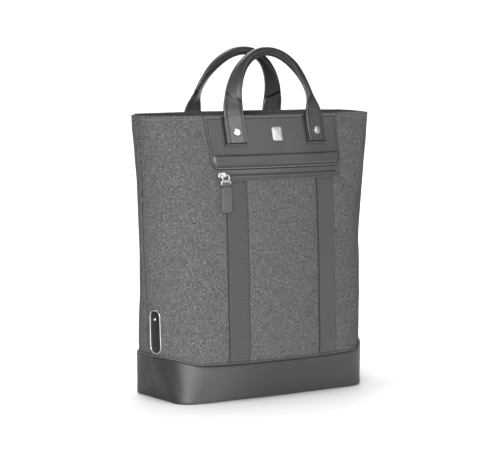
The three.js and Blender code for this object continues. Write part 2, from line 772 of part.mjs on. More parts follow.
// Zip slider: a block that straddles the coil, with a bridge that the pull hangs in.
const coilTop = GAP * 2 + TAPE_THICK + COIL_THICK;
const sliderUnder = GAP * 2 + TAPE_THICK;
const sliderTop = coilTop + GAP + SLIDER_THICK;
const pinRadius = Math.hypot(PULL_WIRE, PULL_THICK) / 2;
const bridgeHole = pinRadius + HINGE_PLAY;
const hingeHeight = sliderTop + bridgeHole;
function slider() {
  const tall = sliderTop - sliderUnder;
  const block = plate(
    roundedOutline(new THREE.Shape(), 0, 0, SLIDER_LENGTH, SLIDER_HEIGHT, SLIDER_CORNER),
    tall,
  ).translate(0, 0, sliderUnder + tall / 2);
  const channelTop = coilTop + GAP;
  const channel = new THREE.BoxGeometry(SLIDER_LENGTH * 2, COIL_HEIGHT + GAP * 2, channelTop * 2);
  const reach = bridgeHole + BRIDGE_WIRE;
  const arch = new THREE.Shape();
  arch.moveTo(-reach, sliderTop - SLIDER_THICK / 2);
  arch.lineTo(reach, sliderTop - SLIDER_THICK / 2);
  arch.lineTo(reach, hingeHeight);
  arch.absarc(0, hingeHeight, reach, 0, Math.PI);
  const hole = new THREE.CylinderGeometry(bridgeHole, bridgeHole, BRIDGE_WIDTH * 2, BORE_SIDES);
  hole.rotateZ(Math.PI / 2).translate(BRIDGE_SHIFT, 0, hingeHeight);
  // The arch is drawn in the y z plane: its outline's x is the frame's y and its y the frame's z.
  const turnUpright = new THREE.Matrix4().makeBasis(
    new THREE.Vector3(0, 1, 0),
    new THREE.Vector3(0, 0, 1),
    new THREE.Vector3(1, 0, 0),
  );
  const bridge = plate(arch, BRIDGE_WIDTH).applyMatrix4(turnUpright).translate(BRIDGE_SHIFT, 0, 0);
  return geometryOf(
    solidOf(block).subtract(solidOf(channel)).add(solidOf(bridge)).subtract(solidOf(hole)),
  );
}

// Metal pull: a ring whose top wire lies in the slider's bridge, and a slotted bar under it.
// Its frame has the hinge's axis as x, with y up the bag's face.
const slotBarMiddle = PULL_WIRE / 2 - RING_HEIGHT - SLOT_BAR_HEIGHT / 2 + PULL_WIRE / 2;
const lowBarMiddle = slotBarMiddle - SLOT_BAR_HEIGHT / 2 + PULL_WIRE / 2;
function metalPull() {
  const outline = (y, width, height, corner) => solidOf(
    plate(roundedOutline(new THREE.Shape(), 0, y, width, height, corner), PULL_THICK),
  );
  const cutter = (y, width, height, corner) => solidOf(
    plate(roundedOutline(new THREE.Shape(), 0, y, width, height, corner), PULL_THICK * 2),
  );
  const ringMiddle = PULL_WIRE / 2 - RING_HEIGHT / 2;
  const ringHoleHeight = RING_HEIGHT - 2 * PULL_WIRE;
  const ring = outline(ringMiddle, RING_WIDTH, RING_HEIGHT, RING_CORNER);
  const bar = outline(slotBarMiddle, SLOT_BAR_WIDTH, SLOT_BAR_HEIGHT, SLOT_BAR_CORNER);
  const ringHole = cutter(ringMiddle, RING_WIDTH - 2 * PULL_WIRE, ringHoleHeight, RING_HOLE_CORNER);
  const slotWidth = SLOT_BAR_WIDTH - 2 * PULL_WIRE;
  const slotHeight = SLOT_BAR_HEIGHT - 2 * PULL_WIRE;
  const slot = cutter(slotBarMiddle, slotWidth, slotHeight, SLOT_CORNER);
  return geometryOf(ring.add(bar).subtract(ringHole).subtract(slot));
}

// Leather tab, folded round the pull's lowest bar.
function pullTab() {
  const loopHole = pinRadius + GAP;
  const loopReach = loopHole + PULL_TAB_LAYER;
  const loopWidth = SLOT_BAR_WIDTH - 2 * PULL_WIRE - 2 * GAP;
  const bodyTop = lowBarMiddle - loopReach;
  const body = plate(
    roundedOutline(
      new THREE.Shape(),
      0,
      bodyTop - PULL_TAB_LENGTH / 2,
      SLOT_BAR_WIDTH,
      PULL_TAB_LENGTH,
      PULL_TAB_CORNER,
    ),
    PULL_TAB_THICK,
  );
  const neckLength = loopReach + PULL_TAB_CORNER;
  const neck = new THREE.BoxGeometry(loopWidth, neckLength, PULL_TAB_THICK);
  neck.translate(0, lowBarMiddle - neckLength / 2, 0);
  const loop = new THREE.CylinderGeometry(loopReach, loopReach, loopWidth, BORE_SIDES);
  loop.rotateZ(Math.PI / 2).translate(0, lowBarMiddle, 0);
  const hole = new THREE.CylinderGeometry(loopHole, loopHole, SLOT_BAR_WIDTH * 2, BORE_SIDES);
  hole.rotateZ(Math.PI / 2).translate(0, lowBarMiddle, 0);
  return geometryOf(solidOf(body).add(solidOf(neck)).add(solidOf(loop)).subtract(solidOf(hole)));
}

// The bag put together
add('front_panel', shellPanel(-1), canvas());
add('back_panel', shellPanel(1), canvas());
add('base_boot', boot(), bootLeather());
add('rim_facing', rimFacing(), facingCloth());
add('front_yoke', yoke(-1), leather());
add('back_yoke', yoke(1), leather());
add('pocket_flap', pocketFlap(), leather());
add('zip_tape', zipTape(), zipCloth());
add('zip_coil', zipCoil(), zipCloth());
add('strap_left', webbingStrap(-STRAP_CENTRE), webbing());
add('strap_right', webbingStrap(STRAP_CENTRE), webbing());
add('front_handle', handle(-1), leather());
add('back_handle', handle(1), leather());

for (const [sideName, side] of [['front', -1], ['back', 1]]) {
  for (const [handName, hand] of [['left', -1], ['right', 1]]) {
    add(`${sideName}_patch_${handName}`, handlePatch(side, hand), leather());
    const seat = faceFrame(
      hand * HANDLE_SPAN / 2,
      BAG_HEIGHT - RIVET_DROP,
      tabUnder + TAB_THICK + GAP,
      side,
    );
    add(
      `${sideName}_rivet_${handName}`,
      rivetHead(RIVET_HEAD, RIVET_RISE, RIVET_BRIM, GRIP_SIDES),
      polishedMetal(),
      groupAt(seat),
    );
  }
}

const plaqueShape = roundedOutline(new THREE.Shape(), 0, 0, PLAQUE_WIDTH, PLAQUE_HEIGHT, PLAQUE_CORNER);
const plaqueSeat = faceFrame(0, BAG_HEIGHT - PLAQUE_DROP, patchUnder + PLAQUE_THICK / 2);
add('plain_plaque', plate(plaqueShape, PLAQUE_THICK), polishedMetal(), groupAt(plaqueSeat));

const inlayLow = PLATE_LOW_END + PLATE_RIM + GAP;
const inlayHigh = PLATE_LOW_END + PLATE_HEIGHT - PLATE_RIM - GAP;
add('side_plate_rim', ovalRim(), polishedMetal());
add('side_plate_inlay', ovalInlay(inlayLow, inlayHigh, GAP, INLAY_THICK), glossBlack());

const studZ = PLATE_LOW_END + PLATE_HEIGHT - STUD_FROM_TOP;
const studSeat = flankPoint(0, studZ, GAP * 2 + INLAY_THICK);
const studOut = flankPoint(0, studZ, GAP * 3 + INLAY_THICK).sub(studSeat).normalize();
const studGroup = new THREE.Group();
studGroup.position.copy(studSeat);
studGroup.quaternion.setFromUnitVectors(new THREE.Vector3(0, 0, 1), studOut);
bag.add(studGroup);
add('side_plate_stud', rivetHead(STUD_WIDTH, STUD_THICK, STUD_BRIM, STUD_SIDES), polishedMetal(), studGroup);

const sliderGroup = groupAt(faceFrame(SLIDER_PLACE, coilMiddle, 0));
add('zip_slider', slider(), polishedMetal(), sliderGroup);

const pullGroup = new THREE.Group();
pullGroup.position.set(PULL_SHIFT, 0, hingeHeight);
pullGroup.rotation.x = PULL_REST_TILT;
sliderGroup.add(pullGroup);
add('zip_pull', metalPull(), polishedMetal(), pullGroup);
add('pull_tab', pullTab(), leather(), pullGroup);

export default bag;
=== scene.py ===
# %% [markdown]
# # A canvas tote that turns into a backpack
# This lesson dresses a plain construction model of the bag. The model gives every piece its place
# in metres, and Blender adds what a maker adds: cloth, leather, thread, webbing and metal.
# Each step says what the piece is on the real bag, how it could be made, and why it is made this way.

import math

import bpy
import numpy as np
from mathutils import Matrix, Vector


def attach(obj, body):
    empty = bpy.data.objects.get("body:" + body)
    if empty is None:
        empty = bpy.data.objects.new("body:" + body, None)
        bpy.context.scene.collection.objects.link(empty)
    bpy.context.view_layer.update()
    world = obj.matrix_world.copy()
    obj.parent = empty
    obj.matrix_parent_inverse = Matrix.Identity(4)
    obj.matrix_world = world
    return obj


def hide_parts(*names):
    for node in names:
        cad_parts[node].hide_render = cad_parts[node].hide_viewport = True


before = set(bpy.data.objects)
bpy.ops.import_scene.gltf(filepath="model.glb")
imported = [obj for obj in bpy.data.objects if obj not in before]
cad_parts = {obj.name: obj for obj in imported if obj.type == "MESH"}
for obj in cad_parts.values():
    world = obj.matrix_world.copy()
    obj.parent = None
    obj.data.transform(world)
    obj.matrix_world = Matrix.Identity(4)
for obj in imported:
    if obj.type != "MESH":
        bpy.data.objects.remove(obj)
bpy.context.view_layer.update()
print("pieces of the frame:", len(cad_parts))

# %% [markdown]
# ## Camera
# The picture was taken from the bag's front left, a little above its middle, with a long lens from
# three metres away. A matching camera needs four things: where it stands, where it looks, its lens,
# and the small upward shift of the frame. They came from lining up points of the bag with the
# picture, so they are written here as numbers in millimetres and degrees.

# %% Camera
MM = 0.001
PICTURE_WIDTH = 500
SENSOR_WIDTH = 36.0
FOCAL_PIXELS = 2042.65
OPTICAL_CENTRE_DROP = 19.27
VIEW_YAW, VIEW_PITCH, VIEW_ROLL = math.radians(35.33), math.radians(6.28), 0.01
VIEW_DISTANCE, VIEW_SIDE, VIEW_RISE, AIM_HEIGHT = 2957.35, -2.26, 10.51, 200.0
FARTHEST_SEEN = 50

level = Vector((math.sin(VIEW_YAW), math.cos(VIEW_YAW), 0))
right = Vector((math.cos(VIEW_YAW), -math.sin(VIEW_YAW), 0))
forward = level * math.cos(VIEW_PITCH) - Vector((0, 0, math.sin(VIEW_PITCH)))
upward = level * math.sin(VIEW_PITCH) + Vector((0, 0, math.cos(VIEW_PITCH)))
aim = Vector((0, 0, AIM_HEIGHT))
stand = aim - forward * VIEW_DISTANCE + right * VIEW_SIDE + upward * VIEW_RISE
tilted_right = right * math.cos(VIEW_ROLL) + upward * math.sin(VIEW_ROLL)
tilted_up = upward * math.cos(VIEW_ROLL) - right * math.sin(VIEW_ROLL)

camera_data = bpy.data.cameras.new("camera")
camera_data.sensor_width = SENSOR_WIDTH
camera_data.sensor_fit = "HORIZONTAL"
camera_data.lens = FOCAL_PIXELS / PICTURE_WIDTH * SENSOR_WIDTH
camera_data.shift_y = OPTICAL_CENTRE_DROP / PICTURE_WIDTH
camera_data.clip_end = FARTHEST_SEEN
camera = bpy.data.objects.new("camera", camera_data)
turned = Matrix((tilted_right, tilted_up, -forward)).transposed().to_4x4()
camera.matrix_world = Matrix.Translation(stand * MM) @ turned
bpy.context.scene.collection.objects.link(camera)
bpy.context.scene.camera = camera
print("lens", round(camera_data.lens, 1), "mm, stands at", [round(c, 3) for c in camera.location])

# %% [markdown]
# ## The bag's form
# All soft pieces lie on one body, which is deep and rounded low down and flat and wide at the rim.
# Its outline from above is known at six heights, and a smooth curve joins them. Functions that
# give a point of this body let every piece be placed by plain measures: how far along, how high,
# and how far it stands out. Everything is worked out in millimetres.

# %% Sizes and form of the bag
BAG_HEIGHT, RIM_WIDTH, BODY_DEPTH = 400.0, 394.0, 176.0
WALL, GAP = 3.0, 0.3
FACES, HANDS = (("front", -1), ("back", 1)), (("left", -1), ("right", 1))
# Columns: height, half width, half depth, bow, corner width, corner depth (shares of the sizes above)
FORM = np.array([
    (0.000, 0.812, 0.858, 0.136, 0.120, 0.28),
    (0.155, 0.891, 0.994, 0.280, 0.290, 0.87),
    (0.325, 0.906, 0.973, 0.330, 0.322, 0.90),
    (0.550, 0.939, 0.931, 0.395, 0.365, 0.94),
    (0.800, 0.957, 0.812, 0.310, 0.204, 0.95),
    (1.000, 1.000, 0.566, 0.240, 0.078, 0.96),
])


def read_smoothly(table, at):
    """Values of a table's columns at places along its first column, on a smooth curve."""
    places, values = table[:, 0], table[:, 1:]
    at = np.clip(np.asarray(at, float), places[0], places[-1])
    upper = np.clip(np.searchsorted(places, at, side="right"), 1, len(places) - 1)
    lower = upper - 1
    first, last = upper == 1, upper == len(places) - 1
    before = np.where(first, upper, upper - 2)
    after = np.where(last, lower, np.minimum(upper + 1, len(places) - 1))
    start, end = places[lower], places[upper]
    half = (end - start) / 2
    weight_before = half / (start - places[before])
    weight_after = half / (places[after] - end)
    p = (at - start) / (end - start)
    shares = (
        (-weight_before * p**3 + 2 * weight_before * p**2 - weight_before * p, before),
        ((1 + weight_before) * p**3 - (1.5 + 2 * weight_before) * p**2
         + (weight_before - 0.5) * p + 1, lower),
        (-(1 + weight_after) * p**3 + (1.5 + weight_after) * p**2 + 0.5 * p, upper),
        (weight_after * p**3 - weight_after * p**2, after),
    )
    return sum(share[..., None] * values[index] for share, index in shares)


def plan_at(z):
    """Half width, half depth, bow, corner width and corner depth of the bag at a height."""
    share = read_smoothly(FORM, np.asarray(z, float) / BAG_HEIGHT)
    half_width, half_depth, bow, corner_width, corner_depth = np.moveaxis(share, -1, 0)
    half_width, corner_width = half_width * RIM_WIDTH / 2, corner_width * RIM_WIDTH / 2
    half_depth, bow = half_depth * BODY_DEPTH / 2, bow * BODY_DEPTH / 2
    corner_depth = np.minimum(corner_depth, 1) * (half_depth - bow)
    return half_width, half_depth, bow, corner_width, corner_depth


def depth_at(plan, x):
    """How far the front face lies in front of the side seams."""
    half_width, half_depth, bow, corner_width, corner_depth = plan
    reach = np.maximum(0, np.abs(x) - (half_width - corner_width)) / corner_width
    corner = corner_depth * (1 - np.sqrt(np.maximum(0, 1 - reach * reach)))
    return half_depth - bow * (x / half_width) ** 2 - corner


def stretches(plan):
    """Lengths of the flat run, the corner's bend and the straight flank of half a half shell."""
    half_width, half_depth, bow, corner_width, corner_depth = plan
    bend = math.pi / 2 * np.hypot(corner_width, corner_depth) / math.sqrt(2)
    return half_width - corner_width, bend, half_depth - bow - corner_depth


def plan_place(plan, t):
    """Place on the outline: t is 0 in the middle of the front and 1 or -1 at a side seam."""
    across, bend, flank = stretches(plan)
    run = np.minimum(np.abs(t), 1) * (across + bend + flank)
    angle = np.clip((run - across) / bend, 0, 1) * math.pi / 2
    x = np.where(run <= across, run, across + plan[3] * np.sin(angle))
    depth = np.where(run <= across + bend, depth_at(plan, x), across + bend + flank - run)
    return np.sign(t) * x, -depth


def shell_point(t, z, proud=0.0, side=-1):
    """Points round the bag, moved straight out of its wall by proud. side is -1 for the front."""
    t, z, proud = np.broadcast_arrays(*(np.asarray(a, float) for a in (t, z, proud)))
    plan = plan_at(z)
    x, y = plan_place(plan, t)
    x0, y0 = plan_place(plan, np.maximum(t - 0.002, -1))
    x1, y1 = plan_place(plan, np.minimum(t + 0.002, 1))
    along = np.hypot(x1 - x0, y1 - y0)
    return np.stack([x + (y1 - y0) / along * proud, -side * (y - (x1 - x0) / along * proud), z], -1)


def face_point(x, z, proud=0.0, side=-1):
    """Points of the front or back face, moved out along its true normal by proud."""
    x, z, proud = np.broadcast_arrays(*(np.asarray(a, float) for a in (x, z, proud)))
    plan = plan_at(z)
    depth = depth_at(plan, x)
    out = np.stack([2 * plan[2] * x / plan[0] ** 2, np.full_like(x, side),
                    depth_at(plan_at(z - 1), x) - depth], -1)
    out /= np.linalg.norm(out, axis=-1, keepdims=True)
    return np.stack([x, side * depth, z], -1) + out * proud[..., None]


half_girth = sum(stretches(plan_at(np.array(200.0))))
print("half girth at mid height", round(float(half_girth), 1), "mm")

# %% [markdown]
# ## Meshes from grids
# Cloth and leather pieces are all grids of points, so one helper turns a grid into faces and
# another makes the object. A closed sheet needs an outer grid, an under grid and the wall between
# their edges. Each point also keeps its place on the flat cloth, in metres, so that a weave can
# follow the cloth round a corner.

# %% Mesh helpers
def grid_faces(rows, columns, around=False):
    """Faces of a grid of points; around joins its last column to its first."""
    gaps = columns if around else columns - 1
    j, i = np.meshgrid(np.arange(rows - 1), np.arange(gaps), indexing="ij")
    k = (i + 1) % columns
    low, high = j * columns, (j + 1) * columns
    return np.stack([low + i, low + k, high + k, high + i], -1).reshape(-1, 4)


def looped_faces(rows, columns):
    """Faces of a band of rings whose last ring also joins its first."""
    i = np.arange(columns)
    k, last = (i + 1) % columns, (rows - 1) * columns
    return np.concatenate([grid_faces(rows, columns, around=True),
                           np.stack([last + i, last + k, k, i], -1)])


def capped_faces(rows, columns):
    """Faces of rings closed by a point at each end, where these two points come last."""
    last, tip = (rows - 1) * columns, rows * columns
    faces = grid_faces(rows, columns, around=True).tolist()
    for i in range(columns):
        k = (i + 1) % columns
        faces += [[tip, k, i], [tip + 1, last + i, last + k]]
    return faces


def closed_sheet(outer, under):
    """Points and faces of a sheet with thickness, from its outer and under grids."""
    rows, columns = outer.shape[:2]
    count = rows * columns
    front = grid_faces(rows, columns)
    number = np.arange(count).reshape(rows, columns)
    edge = np.concatenate([number[0, :-1], number[:-1, -1], number[-1, :0:-1], number[:0:-1, 0]])
    ahead = np.roll(edge, -1)
    wall = np.stack([edge, edge + count, ahead + count, ahead], -1)
    points = np.concatenate([outer.reshape(-1, 3), under.reshape(-1, 3)])
    return points, np.concatenate([front, front[:, ::-1] + count, wall])


def make_piece(name, points, faces, finish, replaced=(), body="bag", cloth=None,
               sharp=50, tint=None):
    """An object from points in millimetres. cloth is each point's place on the flat cloth; tint is
    1 for light edge paint and painted highlights, -1 for the darkest painted shade, and 0 elsewhere."""
    mesh = bpy.data.meshes.new(name)
    faces = [list(map(int, face)) for face in faces]
    mesh.from_pydata((np.asarray(points) * MM).tolist(), [], faces)
    mesh.validate()
    if cloth is not None:
        place = np.zeros((len(points), 3), np.float32)
        place[:, :2] = np.asarray(cloth).reshape(-1, 2) * MM
        kept = mesh.attributes.new("cloth", "FLOAT_VECTOR", "POINT")
        kept.data.foreach_set("vector", place.ravel())
    if tint is not None:
        kept = mesh.attributes.new("tint", "FLOAT", "POINT")
        kept.data.foreach_set("value", np.ravel(tint).astype(np.float32))
    mesh.materials.append(finish)
    piece = bpy.data.objects.new(name, mesh)
    bpy.context.scene.collection.objects.link(piece)
    face_outwards(mesh)
    mesh.shade_smooth()
    mesh.set_sharp_from_angle(angle=math.radians(sharp))
    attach(piece, body)
    if replaced:
        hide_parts(*replaced)
    return piece


def face_outwards(mesh):
    """Turns a closed mesh's faces outwards where its points ran the other way."""
    corners = np.zeros(len(mesh.vertices) * 3, np.float32)
    mesh.vertices.foreach_get("co", corners)
    corners = corners.reshape(-1, 3).astype(float)
    mesh.calc_loop_triangles()
    triangles = np.array([t.vertices for t in mesh.loop_triangles])
    a, b, c = (corners[triangles[:, k]] - corners.mean(0) for k in range(3))
    if np.einsum("ij,ij->i", a, np.cross(b, c)).sum() < 0:
        mesh.flip_normals()


def smooth_step(low, high, value):
    """0 up to low, 1 from high on, and a soft rise between them; low may be the larger one."""
    share = np.clip((value - low) / (high - low), 0, 1)
    return share * share * (3 - 2 * share)


def rounded_edge(distance, radius):
    """0 at a piece's edge, rising along a quarter circle to 1 at radius inside it."""
    share = np.clip(distance / radius, 0, 1)
    return np.sqrt(1 - (1 - share) ** 2)


def groove(distance, at, width):
    """1 on a line at that distance from the edge, fading to 0 on both sides of it."""
    return np.exp(-((distance - at) / width) ** 2)


def stops(length, edge, count):
    """Places along a length, close together near both its ends, where edges are rounded."""
    near = edge * (1 - np.cos(np.linspace(0, math.pi / 2, 6)[:-1]))
    return np.concatenate([near, np.linspace(edge, length - edge, count), length - near[::-1]])


WAVES = 7


def ripple(a, b, length, seed):
    """Soft waves of about that length, the same on every run; values are about -1 to 1."""
    draw = np.random.default_rng(seed)
    total = 0
    for _ in range(WAVES):
        angle, phase = draw.uniform(0, math.pi), draw.uniform(0, 2 * math.pi)
        stretch = draw.uniform(0.7, 1.4)
        way = a * math.cos(angle) + b * math.sin(angle)
        total = total + np.sin(way * 2 * math.pi / (length * stretch) + phase)
    return total / (WAVES / 2)


def squared_off(value, power):
    """Bends sines and cosines, so that a circle becomes a rounded square; 1 keeps the circle."""
    return np.sign(value) * np.abs(value) ** power


# %% [markdown]
# ## Colours and nodes
# Colours are picked as sRGB hex values, as a swatch card gives them, and Blender works in linear
# light, so one function turns them. A second small function adds a shader node with its settings
# and its links, which keeps each material short enough to read.

# %% Colour and node helpers
def linear(hex_colour):
    """A swatch's sRGB hex value as linear red, green, blue and alpha."""
    parts = [int(hex_colour[i:i + 2], 16) / 255 for i in (1, 3, 5)]
    return (*(c / 12.92 if c <= 0.04045 else ((c + 0.055) / 1.055) ** 2.4 for c in parts), 1)


def add(tree, kind, inputs=None, **settings):
    """Adds a node: inputs are values or sockets to link, settings its other properties."""
    node = tree.nodes.new("ShaderNode" + kind)
    for key, value in settings.items():
        setattr(node, key, value)
    for key, value in (inputs or {}).items():
        if isinstance(value, bpy.types.NodeSocket):
            tree.links.new(value, node.inputs[key])
        else:
            node.inputs[key].default_value = value
    return node


def new_finish(name, **sockets):
    """A material with one principled shader, whose plain sockets are set from sockets."""
    finish = bpy.data.materials.new(name)
    finish.use_nodes = True
    shader = finish.node_tree.nodes["Principled BSDF"]
    for key, value in sockets.items():
        shader.inputs[key.replace("_", " ")].default_value = value
    return finish, finish.node_tree, shader


def ramp(tree, factor, *steps):
    """A colour ramp with a swatch at each place."""
    node = add(tree, "ValToRGB", {"Fac": factor})
    marks = node.color_ramp.elements
    while len(marks) < len(steps):
        marks.new(0.5)
    for mark, (place, swatch) in zip(marks, steps):
        mark.position, mark.color = place, linear(swatch)
    return node.outputs["Color"]


def blend(tree, factor, first, second):
    """Mixes two colours; factor is the share of the second."""
    settings = {"Factor": factor, "A": first, "B": second}
    return add(tree, "Mix", settings, data_type="RGBA").outputs["Result"]


def average(tree, factor, first, second):
    """Mixes two values; factor is the share of the second."""
    return add(tree, "Mix", {"Factor": factor, "A": first, "B": second}).outputs["Result"]


def noise(tree, place, scale, **more):
    """Soft noise at places; more names other sockets of the node, such as Detail."""
    return add(tree, "TexNoise", {"Vector": place, "Scale": scale, **more}).outputs["Fac"]


def cloth_place(tree):
    """Each point's place on the flat cloth, in metres."""
    return add(tree, "Attribute", attribute_name="cloth").outputs["Vector"]


def object_place(tree):
    return add(tree, "TexCoord").outputs["Object"]


def tint_value(tree):
    """The value named tint, and how much painted shade it asks for: 0 for none, 1 for the darkest."""
    tint = add(tree, "Attribute", attribute_name="tint").outputs["Fac"]
    return tint, add(tree, "MapRange", {"Value": tint, "From Min": 0.0, "From Max": -1.0}).outputs[0]


def paint(tree, shader, colour):
    tree.links.new(colour, shader.inputs["Base Color"])


def emboss(tree, shader, height, strength, depth):
    """Gives the surface a fine relief; depth is in millimetres."""
    bump = add(tree, "Bump", {"Height": height, "Strength": strength, "Distance": depth * MM})
    tree.links.new(bump.outputs[0], shader.inputs["Normal"])


# %% [markdown]
# ## Melange canvas
# The body is a polyester canvas woven from melange yarn: each thread is spun from light and dark
# fibres, so the cloth is a speckled mid grey with short flecks along both thread directions. A
# thread is 0.5 mm wide, too fine to show from three metres, so the flecks are drawn 0.7 mm wide and
# 3.4 mm long, as coarse as they need to be. More of them run upright, along the warp, than across.
# Slubs, where the yarn is thicker, add soft streaks of 2.2 by 16 mm. The cloth is matt, with a
# trace of sheen from loose fibres, and shade is painted on it where it turns into a seam.

# %% Melange canvas
# Colours for tint: painted shade, and light edge paint that also serves for painted highlights.
SEAM_SHADE, EDGE_PAINT_AND_HIGHLIGHT = "#101011", "#7e7e7f"
THREAD, FLECK_WIDTH, FLECK_LENGTH = 0.5, 0.7, 3.4
SLUB_WIDTH, SLUB_LENGTH = 2.2, 16.0
WEFT_SHARE, SLUB_SHARE, WEAVE_SHARE = 0.2, 0.18, 0.3


def fleck(tree, place, width, length, seed):
    """Noise stretched along one thread direction; width and length are in millimetres."""
    stretched = add(tree, "Mapping", {
        "Vector": place,
        "Location": (seed, seed * 0.7, 0),
        "Scale": (1000 / width, 1000 / length, 1),
    })
    return add(tree, "TexNoise", {"Vector": stretched.outputs[0], "Scale": 1.0, "Detail": 2.0,
                                  "Roughness": 0.6}, noise_dimensions="2D").outputs["Fac"]


def woven(tree, shader, place, mean, bump):
    """Colour from flecks of both thread directions, and a bump from them and the weave."""
    warp = fleck(tree, place, FLECK_WIDTH, FLECK_LENGTH, 3.0)
    weft = fleck(tree, place, FLECK_LENGTH, FLECK_WIDTH, 11.0)
    both = average(tree, WEFT_SHARE, warp, weft)
    slubs = fleck(tree, place, SLUB_WIDTH, SLUB_LENGTH, 23.0)
    mottled = average(tree, SLUB_SHARE, both, slubs)
    deep = tint_value(tree)[1]
    # Painted shade is mixed into the flecked colour where the tint asks for it.
    paint(tree, shader, blend(tree, deep, ramp(tree, mottled, *mean), linear(SEAM_SHADE)))
    threads = add(tree, "Mapping", {"Vector": place, "Scale": (1000 / THREAD, 1000 / THREAD, 1)})
    weave = add(tree, "TexChecker", {"Vector": threads.outputs[0], "Scale": 0.5}).outputs["Fac"]
    emboss(tree, shader, average(tree, WEAVE_SHARE, both, weave), bump, 0.5)


canvas, tree, shader = new_finish(
    "melange_canvas", Roughness=0.95, Specular_IOR_Level=0.05, Sheen_Weight=0.02, Sheen_Roughness=0.5)
fibres = ((0.35, "#373738"), (0.46, "#515152"), (0.54, "#5e5e5f"), (0.66, "#808081"))
woven(tree, shader, cloth_place(tree), fibres, 0.5)
print("canvas flecks", FLECK_WIDTH, "by", FLECK_LENGTH, "mm")

# %% [markdown]
# ## Dark lining cloth
# The band inside the mouth is a closely woven, darker polyester. It is seen as a dark edge behind
# the rim, so it needs little more than a fine weave and a dull finish.

# %% Lining cloth
lining, tree, shader = new_finish(
    "dark_lining_cloth", Roughness=0.85, Specular_IOR_Level=0.2, Sheen_Weight=0.15)
fibres = ((0.35, "#343435"), (0.5, "#424243"), (0.65, "#525253"))
woven(tree, shader, cloth_place(tree), fibres, 0.35)
print("lining cloth made")

# %% [markdown]
# ## Leather
# Yoke, flap, handles and pull tab are smooth cowhide with a thin coloured top coat. Its grain is a
# net of fine creases about 0.9 mm apart; the coat fills most of it, so light slides over it in a
# soft broad highlight. Colour drifts slightly over a hand's width, as dye takes unevenly. Cut edges
# are painted a lighter grey, and painted highlights and painted shade, in seams, gaps and on shaded
# sides, are mixed into the colour: all follow a value stored on the points of a piece, named tint.
# The boot is a smoother, darker hide, and the handles are the glossiest, as hands polish them.

# %% Leathers
GRAIN = 0.9


def leather(name, dark, light, gloss, grain_depth, grain=GRAIN, shine=0.4, dull=0.0):
    """A coated leather between two swatches. gloss is its roughness, grain_depth its grain's bump,
    and dull the share of its shine that is lost where it is tinted dark."""
    finish, tree, shader = new_finish(name, IOR=1.5)
    place = object_place(tree)
    drift = noise(tree, place, 14.0, Detail=5.0)
    cells = add(tree, "TexVoronoi", {"Vector": place, "Scale": 1000 / grain, "Randomness": 0.9},
                feature="DISTANCE_TO_EDGE").outputs["Distance"]
    creases = add(tree, "MapRange", {"Value": cells, "From Max": 0.18, "To Min": 0.0}).outputs[0]
    pores = noise(tree, place, 1000 / (grain * 2.5), Detail=4.0)
    skin = average(tree, 0.35, creases, pores)
    colour = ramp(tree, average(tree, 0.2, drift, skin), (0.3, dark), (0.7, light))
    # Negative tint mixes in painted shade, positive tint light edge paint and painted highlights.
    tint, deep = tint_value(tree)
    lit = add(tree, "MapRange", {"Value": tint, "From Min": 0.0, "From Max": 1.0}).outputs[0]
    shaded = blend(tree, deep, colour, linear(SEAM_SHADE))
    paint(tree, shader, blend(tree, lit, shaded, linear(EDGE_PAINT_AND_HIGHLIGHT)))
    glow = add(tree, "MapRange", {"Value": deep, "To Min": shine, "To Max": shine * (1 - dull)})
    tree.links.new(glow.outputs[0], shader.inputs["Specular IOR Level"])
    rough = add(tree, "MapRange", {"Value": drift, "From Min": 0.3, "From Max": 0.7,
                                   "To Min": gloss - 0.05, "To Max": gloss + 0.06})
    tree.links.new(rough.outputs[0], shader.inputs["Roughness"])
    emboss(tree, shader, skin, grain_depth, 0.3)
    return finish


yoke_leather = leather("smooth_grey_cowhide", "#404041", "#4c4c4d", 0.45, 0.22, shine=0.6)
boot_hide = leather("glossy_dark_cowhide", "#1e1e1f", "#272728", 0.51, 0.12, 1.4, 0.9, dull=0.8)
handle_leather = leather("polished_dark_cowhide", "#3c3c3d", "#484849", 0.27, 0.15, shine=0.5)
pull_hide = leather("pale_grey_cowhide", "#474748", "#535354", 0.45, 0.2, shine=0.5)
print("leather grain", GRAIN, "mm")

# %% [markdown]
# ## Thread, webbing and zip cloth
# Sewing thread is twisted polyester with a dull gleam: mid grey on the canvas and on the pull's
# tab, and near black on the other leather, the zip and the straps. The straps are woven webbing:
# its weft threads stand up as fine ribs across the strap, 1.5 mm apart on the real strap and drawn
# 2.1 mm apart, the finest that the picture can show. Along both edges runs a tighter selvedge, and a
# darker band is painted on it as the shadow of the gap beside the strap. The zip's tape is coated,
# so it is smoother and a little glossier, with a faint herringbone.

# %% Thread, webbing and zip cloth
def grained(name, scale, dark, light, **sockets):
    """A plain finish that varies softly between two swatches."""
    finish, tree, shader = new_finish(name, **sockets)
    tone = noise(tree, object_place(tree), scale)
    paint(tree, shader, ramp(tree, tone, (0.3, dark), (0.7, light)))
    return finish


twist = {"Roughness": 0.6, "Sheen_Weight": 0.1}
grey_thread = grained("twisted_grey_thread", 2500.0, "#606061", "#808081", **twist)
dark_thread = grained("twisted_dark_thread", 2500.0, "#121213", "#1e1e1f", **twist)
coil_nylon = grained("moulded_nylon_coil", 600.0, "#2a2a2b", "#363637", Roughness=0.4, IOR=1.53)

RIB, HERRINGBONE = 2.1, 1.2
STRAP_WIDTH, SELVEDGE, SELVEDGE_FADE = 33.2, 1.4, 0.4


def stripes(tree, place, spacing, direction, **more):
    """Bands that lie spacing millimetres apart, slightly uneven, as woven ones are."""
    return add(tree, "TexWave", {"Vector": place, "Scale": math.pi / 10 / (spacing * MM),
                                 "Distortion": 0.4, "Detail": 1.0, **more},
               bands_direction=direction).outputs["Fac"]


